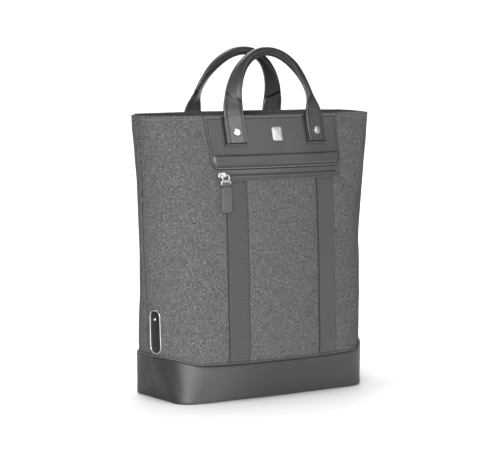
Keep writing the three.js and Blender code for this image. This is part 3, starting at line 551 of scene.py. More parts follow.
webbing_cloth, tree, shader = new_finish(
    "ribbed_webbing", Roughness=0.8, Specular_IOR_Level=0.3, Sheen_Weight=0.2)
place = cloth_place(tree)
ribs = stripes(tree, place, RIB, "Y", **{"Detail Scale": 8.0})
ribs = average(tree, 0.5, ribs, fleck(tree, place, 0.8, 1.6, 5.0))
# A darker band along both edges, painted as the shadow of the gap beside the strap.
across = add(tree, "SeparateXYZ", {"Vector": place}).outputs["X"]
across = add(tree, "Math", {0: across}, operation="ABSOLUTE").outputs[0]
woven_edge = STRAP_WIDTH / 2 - SELVEDGE
edge_shadow = add(tree, "MapRange", {"Value": across, "From Min": woven_edge * MM,
                                "From Max": (woven_edge + SELVEDGE_FADE) * MM}).outputs[0]
ribbed = ramp(tree, ribs, (0.2, "#373738"), (0.8, "#535354"))
paint(tree, shader, blend(tree, edge_shadow, ribbed, linear("#242425")))
emboss(tree, shader, ribs, 0.4, 0.4)

zip_cloth, tree, shader = new_finish("coated_zip_tape", Roughness=0.5, Coat_Weight=0.1)
herring = stripes(tree, cloth_place(tree), HERRINGBONE, "DIAGONAL")
paint(tree, shader, ramp(tree, herring, (0.2, "#464647"), (0.8, "#525253")))
emboss(tree, shader, herring, 0.15, 0.3)
print("webbing ribs", RIB, "mm apart")

# %% [markdown]
# ## Metals and resin
# Rivets, zip pull and plate rim are die-cast and plated: a bright silver mirror with faint polishing
# marks. The plaque is the same metal brushed to a satin finish. The side plate's inlay is black
# resin, poured and lightly polished, so it stays deep and dark with only a soft reflection.

# %% Metals and resin
LINES_PER_METRE = 3000


def plated(name, swatch, roughness, marks, stretch):
    """A plated metal; marks is how strongly its polishing lines show, stretch their length."""
    finish, tree, shader = new_finish(name, Metallic=1.0, Base_Color=linear(swatch))
    scale = (LINES_PER_METRE / stretch, LINES_PER_METRE, LINES_PER_METRE)
    place = add(tree, "Mapping", {"Vector": object_place(tree), "Scale": scale}).outputs[0]
    lines = noise(tree, place, 1.0, Detail=3.0)
    rough = add(tree, "MapRange", {"Value": lines, "From Min": 0.3, "From Max": 0.7,
                                   "To Min": roughness * 0.8, "To Max": roughness * 1.3})
    tree.links.new(rough.outputs[0], shader.inputs["Roughness"])
    emboss(tree, shader, lines, marks, 0.1)
    return finish


polished = plated("polished_silver_plate", "#dededf", 0.3, 0.05, 1.0)
brushed = plated("brushed_silver_plate", "#d2d2d3", 0.38, 0.2, 20.0)
resin = grained("poured_black_resin", 120.0, "#0d0d0e", "#151516", Roughness=0.22, IOR=1.5,
                Specular_IOR_Level=0.35)
print("finishes:", len(bpy.data.materials))

# %% [markdown]
# ## Stitches
# A lockstitch shows as a row of short thread lengths that dip into the leather at each needle hole.
# Here each length is its own small arched bead of thread, laid along a path on the piece: 3 mm long
# with 1 mm between on the canvas, a little shorter and thicker on the leather. Real geometry
# catches the light in every view, where a painted line would not.

# %% Stitches
STITCH, HOLE_GAP, THREAD_RADIUS = 3.0, 1.0, 0.34
DARK_STITCH = {"length": 2.6, "gap": 1.3, "radius": 0.5}
BEAD_RINGS, BEAD_SIDES = 5, 6


def along_path(path, run, at):
    """Points of a path at distances along it; run is each of its own points' distance."""
    return np.stack([np.interp(at, run, path[:, k]) for k in range(3)], -1)


def beads(lines, length=STITCH, gap=HOLE_GAP, radius=THREAD_RADIUS):
    """Points and faces of a row of thread beads for each (path, outward directions) in lines."""
    points, faces, base = [], [], 0
    share = np.linspace(0, 1, BEAD_RINGS)
    arch = radius * (0.9 * (1 - (2 * share - 1) ** 2) - 0.45)
    thick = radius * np.sqrt(1 - 0.75 * (2 * share - 1) ** 4)
    turn = np.arange(BEAD_SIDES) / BEAD_SIDES * 2 * math.pi
    wall = grid_faces(BEAD_RINGS, BEAD_SIDES, around=True)
    for path, out in lines:
        path, out = np.asarray(path, float), np.asarray(out, float)
        run = np.concatenate([[0], np.cumsum(np.linalg.norm(np.diff(path, axis=0), axis=1))])
        count = max(1, int((run[-1] + gap) // (length + gap)))
        pitch = length + gap
        start = (run[-1] - count * pitch + gap) / 2 + np.arange(count) * pitch
        at = start[:, None] + share * length
        centre, up = along_path(path, run, at), along_path(out, run, at)
        up /= np.linalg.norm(up, axis=-1, keepdims=True)
        ahead = centre[:, -1:] - centre[:, :1]
        across = np.cross(ahead, up)
        across /= np.linalg.norm(across, axis=-1, keepdims=True)
        centre = centre + up * arch[:, None]
        ring = centre[:, :, None] + thick[:, None, None] * (
            across[:, :, None] * np.cos(turn)[:, None]
            + up[:, :, None] * np.sin(turn)[:, None])
        points.append(ring.reshape(-1, 3))
        size = BEAD_RINGS * BEAD_SIDES
        for k in range(count):
            first = base + k * size
            faces += (wall + first).tolist()
            faces.append(list(range(first + BEAD_SIDES - 1, first - 1, -1)))
            faces.append(list(range(first + size - BEAD_SIDES, first + size)))
        base += count * size
    return np.concatenate(points), faces


def sew(name, lines, body="bag", finish=None, **settings):
    """Stitches along lines; dark ones are drawn a little thicker, to show at all on dark leather."""
    if finish is dark_thread:
        settings = {**DARK_STITCH, **settings}
    points, faces = beads(lines, **settings)
    made = make_piece(name, points, faces, finish or grey_thread, body=body, sharp=80)
    print(name, len(points) // (BEAD_RINGS * BEAD_SIDES), "stitches")
    return made


# %% [markdown]
# ## The cloth settles
# The canvas is sewn down along the rim, the side seams, the boot and everything on its face. In
# between it is free, and its own stiffness and the padding behind it make it swell and dip by a
# millimetre or two. Blender's cloth simulation does this best: a sheet is pinned along the seams,
# pushed out softly from inside, and left to settle for twenty frames. The result is read off as a
# map of how far each place moved, which shapes the finer mesh of the finished panel.

# %% Where the canvas is sewn down
BOOT_FRONT, BOOT_SIDE, BOOT_RISE_FROM = 57.0, 66.0, 0.76
STRAP_CENTRE = 77.1
PLATE_PLACE, PLATE_LOW, PLATE_HEIGHT, PLATE_WIDTH = 0.907, 68.0, 62.0, 19.0
GIRTH = 230.0
# Half width and lowest height of what covers the canvas at its top
UNDER_YOKE, UNDER_POCKET = (116, 342), (111, 309)


def boot_top(x):
    """Height of the boot's edge: level across the front and back, it rises round each corner."""
    share = np.abs(x) / plan_at(BOOT_FRONT)[0]
    return BOOT_FRONT + (BOOT_SIDE - BOOT_FRONT) * smooth_step(BOOT_RISE_FROM, 1.0, share)


def from_seam(t, z):
    """Distance round the cloth from the nearer side seam."""
    return (1 - np.abs(t)) * sum(stretches(plan_at(z)))


def past_strap(x):
    """Distance sideways past the edge of the nearer webbing strap."""
    return np.abs(np.abs(x) - STRAP_CENTRE) - STRAP_WIDTH / 2


def freedom(t, z, side):
    """0 where the canvas is sewn down or covered, 1 where it is free, with soft borders."""
    x = shell_point(t, z, 0, side)[..., 0]
    free = smooth_step(0, 12, from_seam(t, z) - 4)
    free = free * smooth_step(0, 14, BAG_HEIGHT - 6 - z) * smooth_step(0, 14, z - boot_top(x) - 2)
    yoke = np.maximum(np.abs(x) - UNDER_YOKE[0], UNDER_YOKE[1] - z)
    free = free * smooth_step(0, 12, yoke)
    if side < 0:
        pocket = np.maximum(np.abs(x) - UNDER_POCKET[0], UNDER_POCKET[1] - z)
        past_plate = np.abs(z - PLATE_LOW - PLATE_HEIGHT / 2) - (PLATE_HEIGHT / 2 - 9)
        plate = np.hypot((t + PLATE_PLACE) * GIRTH, np.maximum(0, past_plate)) - 10
        free = free * smooth_step(0, 12, pocket) * smooth_step(0, 10, plate)
        free = free * smooth_step(0, 8, past_strap(x))
    return free


# %% Let the canvas settle
SETTLE_FRAMES, SETTLE_COLUMNS, SETTLE_ROWS, SETTLE_LOW = 20, 97, 65, 50
MOST_SWELL, MOST_DIP, QUICK_SWELL = 1.9, 0.8, 0.8


def settled(side):
    """How far the canvas moves out at each place of a grid over a half shell, in millimetres."""
    places = np.linspace(-1, 1, SETTLE_COLUMNS)
    heights = np.linspace(SETTLE_LOW, BAG_HEIGHT, SETTLE_ROWS)
    z, t = np.meshgrid(heights, places, indexing="ij")
    rest = shell_point(t, z, 0, side).reshape(-1, 3)
    mesh = bpy.data.meshes.new("settling")
    faces = grid_faces(SETTLE_ROWS, SETTLE_COLUMNS)
    mesh.from_pydata((rest * MM).tolist(), [], (faces if side < 0 else faces[:, ::-1]).tolist())
    sheet = bpy.data.objects.new("settling", mesh)
    bpy.context.scene.collection.objects.link(sheet)
    pins = sheet.vertex_groups.new(name="sewn")
    for number, weight in enumerate(1 - freedom(t, z, side).ravel()):
        pins.add([number], float(weight > 0.6), "REPLACE")
    cloth = sheet.modifiers.new("cloth", "CLOTH")
    settings = cloth.settings
    settings.quality, settings.mass = 6, 0.2
    settings.tension_stiffness = settings.compression_stiffness = 12
    settings.shear_stiffness, settings.bending_stiffness = 5, 1.5
    settings.vertex_group_mass, settings.pin_stiffness = pins.name, 1
    settings.shrink_min = -0.006
    settings.use_pressure, settings.uniform_pressure_force = True, 0.6
    settings.effector_weights.gravity = 0
    cloth.point_cache.frame_end = SETTLE_FRAMES
    for number in range(1, SETTLE_FRAMES + 1):
        bpy.context.scene.frame_set(number)
    moved = sheet.evaluated_get(bpy.context.evaluated_depsgraph_get()).data
    after = np.array([v.co for v in moved.vertices], float) / MM
    out = shell_point(t, z, 1, side).reshape(-1, 3) - rest
    travel = np.einsum("ij,ij->i", after - rest, out).reshape(z.shape)
    bpy.data.objects.remove(sheet)
    bpy.context.scene.frame_set(1)
    print("canvas moved from", round(travel.min(), 2), "to", round(travel.max(), 2), "mm")
    return places, heights, np.clip(travel, -MOST_DIP, MOST_SWELL)


def read_map(mapped, t, z):
    """Reads the settled map at any places, in straight lines between its points."""
    places, heights, travel = mapped
    i = np.clip((t - places[0]) / (places[1] - places[0]), 0, len(places) - 1.001)
    j = np.clip((z - heights[0]) / (heights[1] - heights[0]), 0, len(heights) - 1.001)
    i0, j0 = i.astype(int), j.astype(int)
    p, q = i - i0, j - j0
    low = travel[j0, i0] * (1 - p) + travel[j0, i0 + 1] * p
    high = travel[j0 + 1, i0] * (1 - p) + travel[j0 + 1, i0 + 1] * p
    return low * (1 - q) + high * q


settled_front, settled_back = settled(-1), settled(1)

# %% [markdown]
# ## Canvas panels
# Each half shell is one panel of canvas, 3 mm thick with its padding, folded in at the rim and
# turned in at the side seams. A stitched line holds the fold 5 mm under the rim, and another runs
# beside each side seam. The grid is finer at the folds, where the cloth turns sharply.

# %% Canvas panels
RIM_FOLD, SEAM_TURN, RIM_STITCH, SEAM_STITCH = 1.5, 2.4, 4.6, 5.0
STRAP_PINCH, TAUT_OVER_BOOT, CANVAS_LOW = 0.5, 60.0, 3.3


def canvas_proud(t, z, side):
    """How far the finished canvas stands out from the plain form."""
    mapped = settled_front if side < 0 else settled_back
    x = shell_point(t, z, 0, side)[..., 0]
    seam = from_seam(t, z)
    free = freedom(t, z, side)
    taut = smooth_step(-5, TAUT_OVER_BOOT, z - boot_top(x))
    proud = read_map(mapped, t, z) * taut + 0.3 * free * ripple(t * GIRTH, z, 70, 4 + side)
    proud -= RIM_FOLD * (1 - rounded_edge(BAG_HEIGHT - z, RIM_FOLD))
    proud -= 1.3 * (1 - rounded_edge(seam, SEAM_TURN))
    proud -= 0.35 * groove(BAG_HEIGHT - z, RIM_STITCH, 0.9) + 0.4 * groove(seam, SEAM_STITCH, 1.0)
    if side < 0:
        proud -= STRAP_PINCH * groove(past_strap(x), 0.6, 1.6) * (z < UNDER_POCKET[1] + 3)
    return proud


def canvas_panel(name, side, node):
    """One half of the bag as a closed sheet of canvas."""
    girth = 2 * float(half_girth)
    t = stops(girth, SEAM_TURN, 150) / girth * 2 - 1
    z = CANVAS_LOW + stops(BAG_HEIGHT - CANVAS_LOW, RIM_FOLD, 118)
    z, t = np.meshgrid(z, t, indexing="ij")
    outer = shell_point(t, z, canvas_proud(t, z, side), side)
    inner = shell_point(t, z, -WALL, side)
    for grid in (outer, inner):
        grid[..., 1] = side * np.maximum(side * grid[..., 1], GAP / 2)
    points, faces = closed_sheet(outer, inner)
    flat = np.stack([t * half_girth, z], -1).reshape(-1, 2)
    seam = from_seam(t, z)
    # Painted shade where the canvas turns into a side seam and along the seam's stitching.
    shade = -0.45 * smooth_step(1.8, 0.6, seam) - 0.3 * groove(seam, SEAM_STITCH, 1.0)
    panel = make_piece(name, points, faces, canvas, [node],
                       cloth=np.concatenate([flat, flat]), tint=np.tile(shade.ravel(), 2))
    print(name, len(faces), "faces")


def canvas_line(t, z, side):
    """A path for stitches on the canvas: its points and their outward directions."""
    out = shell_point(t, z, 1, side) - shell_point(t, z, 0, side)
    return shell_point(t, z, canvas_proud(t, z, side), side), out


for name, side in FACES:
    canvas_panel(f"canvas_{name}", side, f"{name}_panel")

rim_lines, seam_lines = [], []
for name, side in FACES:
    t = np.linspace(-0.985, 0.985, 240)
    z = np.full_like(t, BAG_HEIGHT - RIM_STITCH)
    bare = np.abs(shell_point(t, z, 0, side)[:, 0]) > UNDER_YOKE[0] + 1
    rim_lines += [canvas_line(t[half], z[half], side) for half in (bare & (t < 0), bare & (t > 0))]
    z = np.linspace(BOOT_SIDE + 1, BAG_HEIGHT - 7, 120)
    t = 1 - SEAM_STITCH / sum(stretches(plan_at(z)))
    seam_lines += [canvas_line(hand * t, z, side) for hand in (-1, 1)]
sew("stitches_rim", rim_lines)
sew("stitches_side_seams", seam_lines)

# %% [markdown]
# ## Band inside the mouth
# A band of lining cloth closes the cut edge of the canvas inside the rim and stands a little over
# it, more at the back. It is a closed loop of one section, swept round the bag, with a soft fold at
# its top and a faint wave where the two halves are not pulled quite even.

# %% Band inside the mouth
FACING_DEEP, FACING_THICK, FACING_PROUD, FACING_BACK_RISE = 40.0, 1.2, 0.4, 1.6
FACING_COLUMNS, FACING_WAVE = 150, 0.25


def round_the_bag(columns):
    """Places all the way round, front half first: t and side of each."""
    half = np.arange(columns) / columns * 2 - 1
    return np.concatenate([half, -half]), np.repeat([-1, 1], columns)


def round_point(t, z, proud, side):
    """shell_point where the places lie on both halves."""
    return np.where((side < 0)[..., None], shell_point(t, z, proud, -1), shell_point(t, z, proud, 1))


t, side = round_the_bag(FACING_COLUMNS)
back = np.where(side > 0, 1 - np.abs(t) ** 8, 0)
wave = FACING_WAVE * ripple(t * GIRTH, side * 40, 80, 9) * (1 - t**4)
top = BAG_HEIGHT + FACING_PROUD + FACING_BACK_RISE * back + wave
middle, half = -(WALL + GAP + FACING_THICK / 2), FACING_THICK / 2
rise = np.linspace(BAG_HEIGHT - FACING_DEEP, BAG_HEIGHT - 2, 10)
rows = [(np.full_like(t, z), middle + half) for z in rise]
for angle in np.linspace(0, math.pi, 7):
    rows.append((top - half * (1 - math.sin(angle)), middle + half * math.cos(angle)))
rows += [(np.full_like(t, z), middle - half) for z in rise[::-1]]
rings = np.stack([round_point(t, z, np.full_like(t, proud), side) for z, proud in rows])
faces = looped_faces(len(rows), len(t))
flat = np.stack([np.tile((t + side) * half_girth, len(rows)),
                 np.concatenate([z for z, _ in rows])], -1)
make_piece("facing_band", rings.reshape(-1, 3), faces, lining, ["rim_facing"],
           cloth=flat)
print("band round the mouth:", len(faces), "faces")

# %% [markdown]
# ## Leather boot
# The base is a moulded leather cup. Its upper edge is turned and stitched 3.4 mm below the fold. The
# edge is level across the front and back and rises round each corner, and a seam on each side pulls
# it into a few slanting creases. It is built from rings: under the base, round the lower edge, up
# the wall, over the upper edge, down the inside and across the floor. Creases and seams are dents in
# the rings, deep enough to catch light. Shade is painted on its flanks, which also dulls their
# shine, and in its stitch line; painted highlights lie on its left front corner and its top edge.

# %% Leather boot
BOOT_WALL, BOOT_FLOOR, BOOT_COLUMNS, BOOT_GIRTH = 2.2, 3.0, 180, 232.0
BOOT_LIFT, BOOT_LIFT_WIDTH, BOOT_LIFT_FADE = 3.0, 0.8, 0.25
BOOT_FOOT_INSET, FOOT_ROUND, BOOT_STITCH, FLANK_PAINTED_SHADE = 9.0, 3.0, 3.4, 0.5
# A painted highlight on the left front corner: its middle, its reach to the left and right, its
# strength.
CORNER_HIGHLIGHT_PLACE, CORNER_HIGHLIGHT_LEFT, CORNER_HIGHLIGHT_RIGHT, CORNER_HIGHLIGHT_STRENGTH = -128.0, 22.0, 60.0, 0.16
OUTSIDE = GAP + BOOT_WALL
# Creases of the wall: distances from the side seam and heights of both ends, then depth and width
CREASES = (
    ((3, 60), (13, 20), 0.45, 2.4), ((-3, 56), (-16, 22), 0.4, 2.4), ((10, 50), (32, 42), 0.25, 3.0),
    ((6, 26), (22, 10), 0.3, 2.6), ((48, 52), (60, 12), 0.3, 5.0), ((-44, 50), (-58, 14), 0.3, 5.0),
)


def foot_height(t, side):
    """The lower edge lifts a little off the floor between the corners."""
    place = round_point(t, np.zeros_like(t), np.zeros_like(t), side)
    share = place[:, 0] / (plan_at(0.0)[0] * BOOT_LIFT_WIDTH)
    fade = np.minimum(1, np.abs(place[:, 1]) / (BODY_DEPTH * BOOT_LIFT_FADE))
    return BOOT_LIFT * np.maximum(0, 1 - share * share) * fade


def crease(u, z, start, end, depth, width):
    """A dent along a line between two places of the wall, with a soft ridge beside it."""
    (u0, z0), (u1, z1) = start, end
    length = math.hypot(u1 - u0, z1 - z0)
    along = ((u - u0) * (u1 - u0) + (z - z0) * (z1 - z0)) / length
    off = ((z - z0) * (u1 - u0) - (u - u0) * (z1 - z0)) / length
    fade = smooth_step(-6, 8, along) * smooth_step(-6, 10, length - along)
    return fade * depth * (0.5 * groove(off, 1.6 * width, width) - groove(off, 0, width))


def boot_dents(t, z, side, top):
    """Seams, creases and soft dents of the boot's wall; u is the distance from its side seam."""
    u = (1 - np.abs(t)) * BOOT_GIRTH * np.where(side < 0, 1, -1)
    dents = 0.35 * ripple(t * BOOT_GIRTH * side, z, 85, 21)
    dents += 0.35 * groove(np.abs(u), 3.0, 1.6) - 0.5 * groove(u, 0, 1.1)
    for start, end, depth, width in CREASES:
        dents += crease(u, z, start, end, depth, width)
    return dents - 0.3 * groove(top - z, BOOT_STITCH, 0.8)


def boot_ring(z, proud, inward=1):
    """A ring of the boot, all round the bag; inward below 1 draws it towards the middle."""
    return round_point(t, 0 * t + z, 0 * t + proud, side) * (inward, inward, 1)


t, side = round_the_bag(BOOT_COLUMNS)
edge = boot_top(round_point(t, np.full_like(t, BOOT_FRONT), np.zeros_like(t), side)[:, 0])
foot = foot_height(t, side)
rows = [boot_ring(0, OUTSIDE - BOOT_FOOT_INSET, share) for share in (0.35, 0.7, 0.9)]
for inset, rise in ((BOOT_FOOT_INSET, 0), (7.0, 0.05), (5.0, 0.3), (FOOT_ROUND, 0.8)):
    rows.append(boot_ring(foot * rise, OUTSIDE - inset))
for angle in np.linspace(0.25, math.pi / 2, 5):
    rows.append(boot_ring(foot + FOOT_ROUND * (1 - math.cos(angle)),
                          OUTSIDE - FOOT_ROUND * (1 - math.sin(angle))))
for share in np.concatenate([np.linspace(0, 0.85, 28)[1:], np.linspace(0.85, 1, 12)[1:]]):
    z = foot + FOOT_ROUND + (edge - 1 - foot - FOOT_ROUND) * share
    dents = smooth_step(0, 8, z - foot) * boot_dents(t, z, side, edge)
    rows.append(boot_ring(z, OUTSIDE + dents))
for angle in np.linspace(0, math.pi, 8)[1:]:
    rows.append(boot_ring(edge - 1 + math.sin(angle), GAP + BOOT_WALL / 2 * (1 + math.cos(angle))))
rows += [boot_ring(z, GAP) for z in np.linspace(50, BOOT_FLOOR, 7)]
rows += [boot_ring(BOOT_FLOOR, GAP, share) for share in (0.8, 0.5, 0.25)]
points = np.concatenate([np.stack(rows).reshape(-1, 3), [[0, 0, 0], [0, 0, BOOT_FLOOR]]])
faces = capped_faces(len(rows), len(t))
print("boot:", len(faces), "faces")

# %% Shade and stitches of the boot
deep_inside = [60, 60]
below = np.concatenate([np.tile(edge, len(rows)), deep_inside]) - points[:, 2]
# Light edge paint and painted highlight along the turned top edge, painted shade in the stitch line.
light = 0.35 * smooth_step(1.6, 0.8, below) * smooth_step(0.1, 0.5, below)
# Painted shade on the flanks, which also dulls their shine.
flank = np.tile(FLANK_PAINTED_SHADE * smooth_step(66, 44, from_seam(t, BOOT_FRONT)), len(rows))
flank = np.concatenate([flank, [0, 0]]) * smooth_step(BOOT_STITCH, BOOT_STITCH + 3, below)
# Painted highlight on the front near the left corner.
from_corner = points[:, 0] - CORNER_HIGHLIGHT_PLACE
reach = np.where(from_corner < 0, CORNER_HIGHLIGHT_LEFT, CORNER_HIGHLIGHT_RIGHT)
corner_highlight = np.exp(-(from_corner / reach) ** 2) * (points[:, 1] < 0)
corner_highlight = CORNER_HIGHLIGHT_STRENGTH * corner_highlight * smooth_step(BOOT_STITCH, BOOT_STITCH + 6, below)
shade = light - groove(below, BOOT_STITCH, 1.0) - flank + corner_highlight
make_piece("boot_leather", points, faces, boot_hide, ["base_boot"], tint=shade)

z = edge - BOOT_STITCH
path = boot_ring(z, OUTSIDE + boot_dents(t, z, side, edge))
out = boot_ring(z, 1) - boot_ring(z, 0)
closed = np.arange(len(t) + 1) % len(t)
sew("stitches_boot", [(path[closed], out[closed])], finish=dark_thread)

# %% [markdown]
# ## Pieces sewn on a face
# Yokes, flap, zip tape, webbing and patches are flat pieces sewn on the front or back. They share
# one builder: a grid over the piece, whose height over the face depends on how far inside the
# piece's outline a point lies. That one distance gives rounded edges, stitch lines and padding.

# %% Builder for pieces on a face
def inside_of(x, z, half, low, high, low_corner=0.0):
    """Distance inside an outline with straight sides and, if asked, round lower corners."""
    side, rise = half - np.abs(x), z - low
    plain = np.minimum(side, rise)
    if low_corner:
        bend = low_corner - np.hypot(low_corner - side, low_corner - rise)
        plain = np.where((side < low_corner) & (rise < low_corner), bend, plain)
    return np.maximum(plain, 0), np.maximum(np.minimum(plain, high - z), 0)


def face_sheet(name, finish, node, half_at, low, high, height, side=-1, centre=0.0,
               under=GAP, edge=1.2, columns=90, rows=30, low_corner=0.0, tint=None):
    """height(x, z, sides, all_round) gives how far the piece stands over its under side, and tint,
    if there is one, takes the same values. half_at(z) is its half width, or one number."""
    if not callable(half_at):
        straight = half_at
        half_at = lambda z: 0 * z + straight
    z = low + stops(high - low, edge, rows)
    widest = float(np.max(half_at(z)))
    u = stops(2 * widest, edge, columns) / widest - 1
    z, u = np.meshgrid(z, u, indexing="ij")
    half = half_at(z)
    if low_corner:
        drop = np.maximum(0, low_corner - (z - low))
        x = u * (half - low_corner + np.sqrt(np.maximum(0, low_corner**2 - drop**2)))
    else:
        x = u * half
    sides, all_round = inside_of(x, z, half, low, high, low_corner)
    outer = face_point(centre + x, z, under + height(x, z, sides, all_round), side)
    lower = face_point(centre + x, z, np.full_like(z, under), side)
    points, faces = closed_sheet(outer, lower)
    flat = np.stack([x, z], -1).reshape(-1, 2)
    shade = None if tint is None else np.tile(tint(x, z, sides, all_round).ravel(), 2)
    return make_piece(name, points, faces, finish, [node],
                      cloth=np.concatenate([flat, flat]), tint=shade)


def line_on_face(x, z, proud, side=-1):
    """A path for stitches: points on a face and their outward directions."""
    x, z, proud = np.broadcast_arrays(x, z, proud)
    on = face_point(x, z, proud, side)
    return on, face_point(x, z, proud + 1, side) - on


# %% [markdown]
# ## Yokes, flap and zip
# The yoke is one sheet of leather below the rim, stitched 3.6 mm inside its top and sides. Along its
# lower edge it dips into a seam, and below that seam the pocket's flap begins. The flap is padded:
# it stays full down to a ridge, then drops to a flat stitched hem that turns round two soft
# corners. It lies over the zip, whose coated tape has a bound and stitched edge. A shadow is painted
# on the yoke beside the handle tabs, mostly on their left, and painted shade darkens the seam.

# %% Yokes
YOKE_DROP, YOKE_TOP_WIDTH, YOKE_LOW_WIDTH, YOKE_THICK = 55.0, 231.0, 225.0, 1.3
HEM_STITCH, SEAM_REACH, EDGE_SHOWS = 3.6, 106.0, 0.5
HANDLE_SPAN, TAB_DROP, TAB_WIDTH = 139.0, 38.5, 31.0
TAB_SHADE, TAB_SHADE_REACH, RIGHT_OF_TAB = 0.95, 7.0, 2.5
yoke_low = BAG_HEIGHT - YOKE_DROP
yoke_high = BAG_HEIGHT - 0.6


def yoke_half(z):
    """Half width of the yoke, which is a little wider at its top."""
    return (YOKE_LOW_WIDTH + (YOKE_TOP_WIDTH - YOKE_LOW_WIDTH) * (z - yoke_low) / YOKE_DROP) / 2


def yoke_lip(x, z):
    """Distance inside the yoke's top and sides; its lower edge is a seam."""
    return np.minimum(yoke_half(z) - np.abs(x), yoke_high - z)


def seam_dip(x, distance):
    """1 away from the seam between yoke and flap, 0 in it; it ends a little before the sides."""
    seam = 1 - smooth_step(SEAM_REACH - 2, SEAM_REACH + 1.5, np.abs(x))
    return 1 - seam * (1 - rounded_edge(distance, 2.6))


def yoke_height(x, z, sides, all_round):
    lip = yoke_lip(x, z)
    sheet = YOKE_THICK * (0.35 + 0.65 * rounded_edge(lip, 0.9))
    sheet -= 0.35 * groove(lip, HEM_STITCH, 0.7)
    return sheet * (0.25 + 0.75 * seam_dip(x, z - yoke_low)) + 0.12 * ripple(x, z, 60, 31)


def edge_tint(lip):
    """Painted shadow beside an edge, a painted highlight on its round, painted shade in its stitch
    line.
    """
    light = EDGE_SHOWS * smooth_step(0.9, 1.3, lip) * smooth_step(2.6, 2.1, lip)
    return light - smooth_step(1.2, 0.7, lip) - 0.6 * groove(lip, HEM_STITCH, 0.9)


def yoke_tint(x, z, sides, all_round):
    lip = yoke_lip(x, z)
    # Painted shadow beside the handle tabs, stronger on their left, and painted shade in the seam to
    # the flap.
    off = x - np.sign(x) * HANDLE_SPAN / 2
    past = (np.abs(off) - TAB_WIDTH / 2) * np.where(off < 0, 1, RIGHT_OF_TAB)
    tab_shadow = TAB_SHADE * smooth_step(TAB_SHADE_REACH, 0, np.maximum(past, BAG_HEIGHT - TAB_DROP - z))
    return edge_tint(lip) * (1 - tab_shadow) - (1 - seam_dip(x, z - yoke_low)) - tab_shadow


for name, side in FACES:
    face_sheet(f"yoke_{name}", yoke_leather, f"{name}_yoke", yoke_half, yoke_low,
               yoke_high, yoke_height, side, rows=52, columns=130, tint=yoke_tint)
    z = np.linspace(yoke_low + 1, yoke_high - HEM_STITCH, 40)
    reach = yoke_half(yoke_high) - HEM_STITCH
    proud = GAP + YOKE_THICK - 0.3
    lines = [line_on_face(hand * (yoke_half(z) - HEM_STITCH), z, proud, side) for hand in (-1, 1)]
    lines.append(line_on_face(np.linspace(-reach, reach, 150), yoke_high - HEM_STITCH, proud, side))
    sew(f"stitches_yoke_{name}", lines, finish=dark_thread)

# %% Padded flap
FLAP_WIDTH, FLAP_HEIGHT, FLAP_THICK, FLAP_HEM, FLAP_CORNER = 226.0, 18.6, 3.7, 1.7, 12.0
RIDGE, RIDGE_SOFT = 6.8, 2.2
flap_high = yoke_low - GAP
flap_low = yoke_low - 2 * GAP - FLAP_HEIGHT


def flap_height(x, z, sides, all_round):
    pad = smooth_step(RIDGE - RIDGE_SOFT, RIDGE, sides) * (FLAP_THICK - FLAP_HEM)
    pad *= 0.8 + 0.2 * smooth_step(14, 8, sides)
    sheet = FLAP_HEM * (0.35 + 0.65 * rounded_edge(sides, 1.1)) + pad
    sheet -= 0.35 * groove(sides, HEM_STITCH, 0.7)
    sheet *= 0.12 + 0.88 * seam_dip(x, flap_high - z)
    return sheet + 0.1 * ripple(x, z, 45, 33) * (sides > 8)


def flap_tint(x, z, sides, all_round):
    # Painted shadow and highlight at the flap's edges, and painted shade in the seam to the yoke.
    return edge_tint(sides) - (1 - seam_dip(x, flap_high - z))


flap = face_sheet("flap_padded", yoke_leather, "pocket_flap", FLAP_WIDTH / 2, flap_low,
                  flap_high, flap_height, rows=44, low_corner=FLAP_CORNER, columns=140,
                  tint=flap_tint)


def hem_path(half, low, high, corner, inset):
    """A line inside an outline with round lower corners: down a side, along, and up the other."""
    turn = np.linspace(0, math.pi / 2, 14)
    bend = corner - inset
    down = np.linspace(high, low + corner, 12)[:-1]
    foot = np.linspace(-half + corner, half - corner, 120)[1:-1]
    x = np.concatenate([0 * down - half + inset, -half + corner - bend * np.cos(turn), foot,
                        half - corner + bend * np.sin(turn), 0 * down + half - inset])
    z = np.concatenate([down, low + corner - bend * np.sin(turn), 0 * foot + low + inset,
                        low + corner - bend * np.cos(turn), down[::-1]])
    return x, z


x, z = hem_path(FLAP_WIDTH / 2, flap_low, flap_high - 1, FLAP_CORNER, HEM_STITCH)
seam_x = np.linspace(-SEAM_REACH, SEAM_REACH, 120)
sew("stitches_flap", [line_on_face(x, z, GAP + FLAP_HEM - 0.2),
                      line_on_face(seam_x, yoke_low - 0.1, GAP + 0.75)], finish=dark_thread)

# %% Zip tape and coil
TAPE_HEIGHT, TAPE_WIDTH, TAPE_CORNER, TAPE_THICK = 15.0, 218.0, 7.0, 0.95
BINDING, BINDING_THICK, BINDING_STITCH = 3.6, 0.55, 2.0
COIL_PITCH, COIL_TOOTH, COIL_END, COIL_STEP, COIL_WIRE = 1.3, 2.3, 5.0, 0.35, 0.5
tape_high = flap_low - GAP
tape_low = tape_high - TAPE_HEIGHT
coil_middle = (tape_low + tape_high) / 2


def tape_height(x, z, sides, all_round):
    binding = rounded_edge(sides, 1.0) * smooth_step(BINDING + 0.5, BINDING - 0.5, sides)
    slit = groove(np.abs(z - coil_middle), 0, 1.0) * (np.abs(x) < TAPE_WIDTH / 2 - COIL_END)
    sheet = TAPE_THICK * (0.4 + 0.6 * rounded_edge(all_round, 0.8)) + BINDING_THICK * binding
    return sheet - 0.5 * slit - 0.3 * groove(sides, BINDING_STITCH, 0.5)


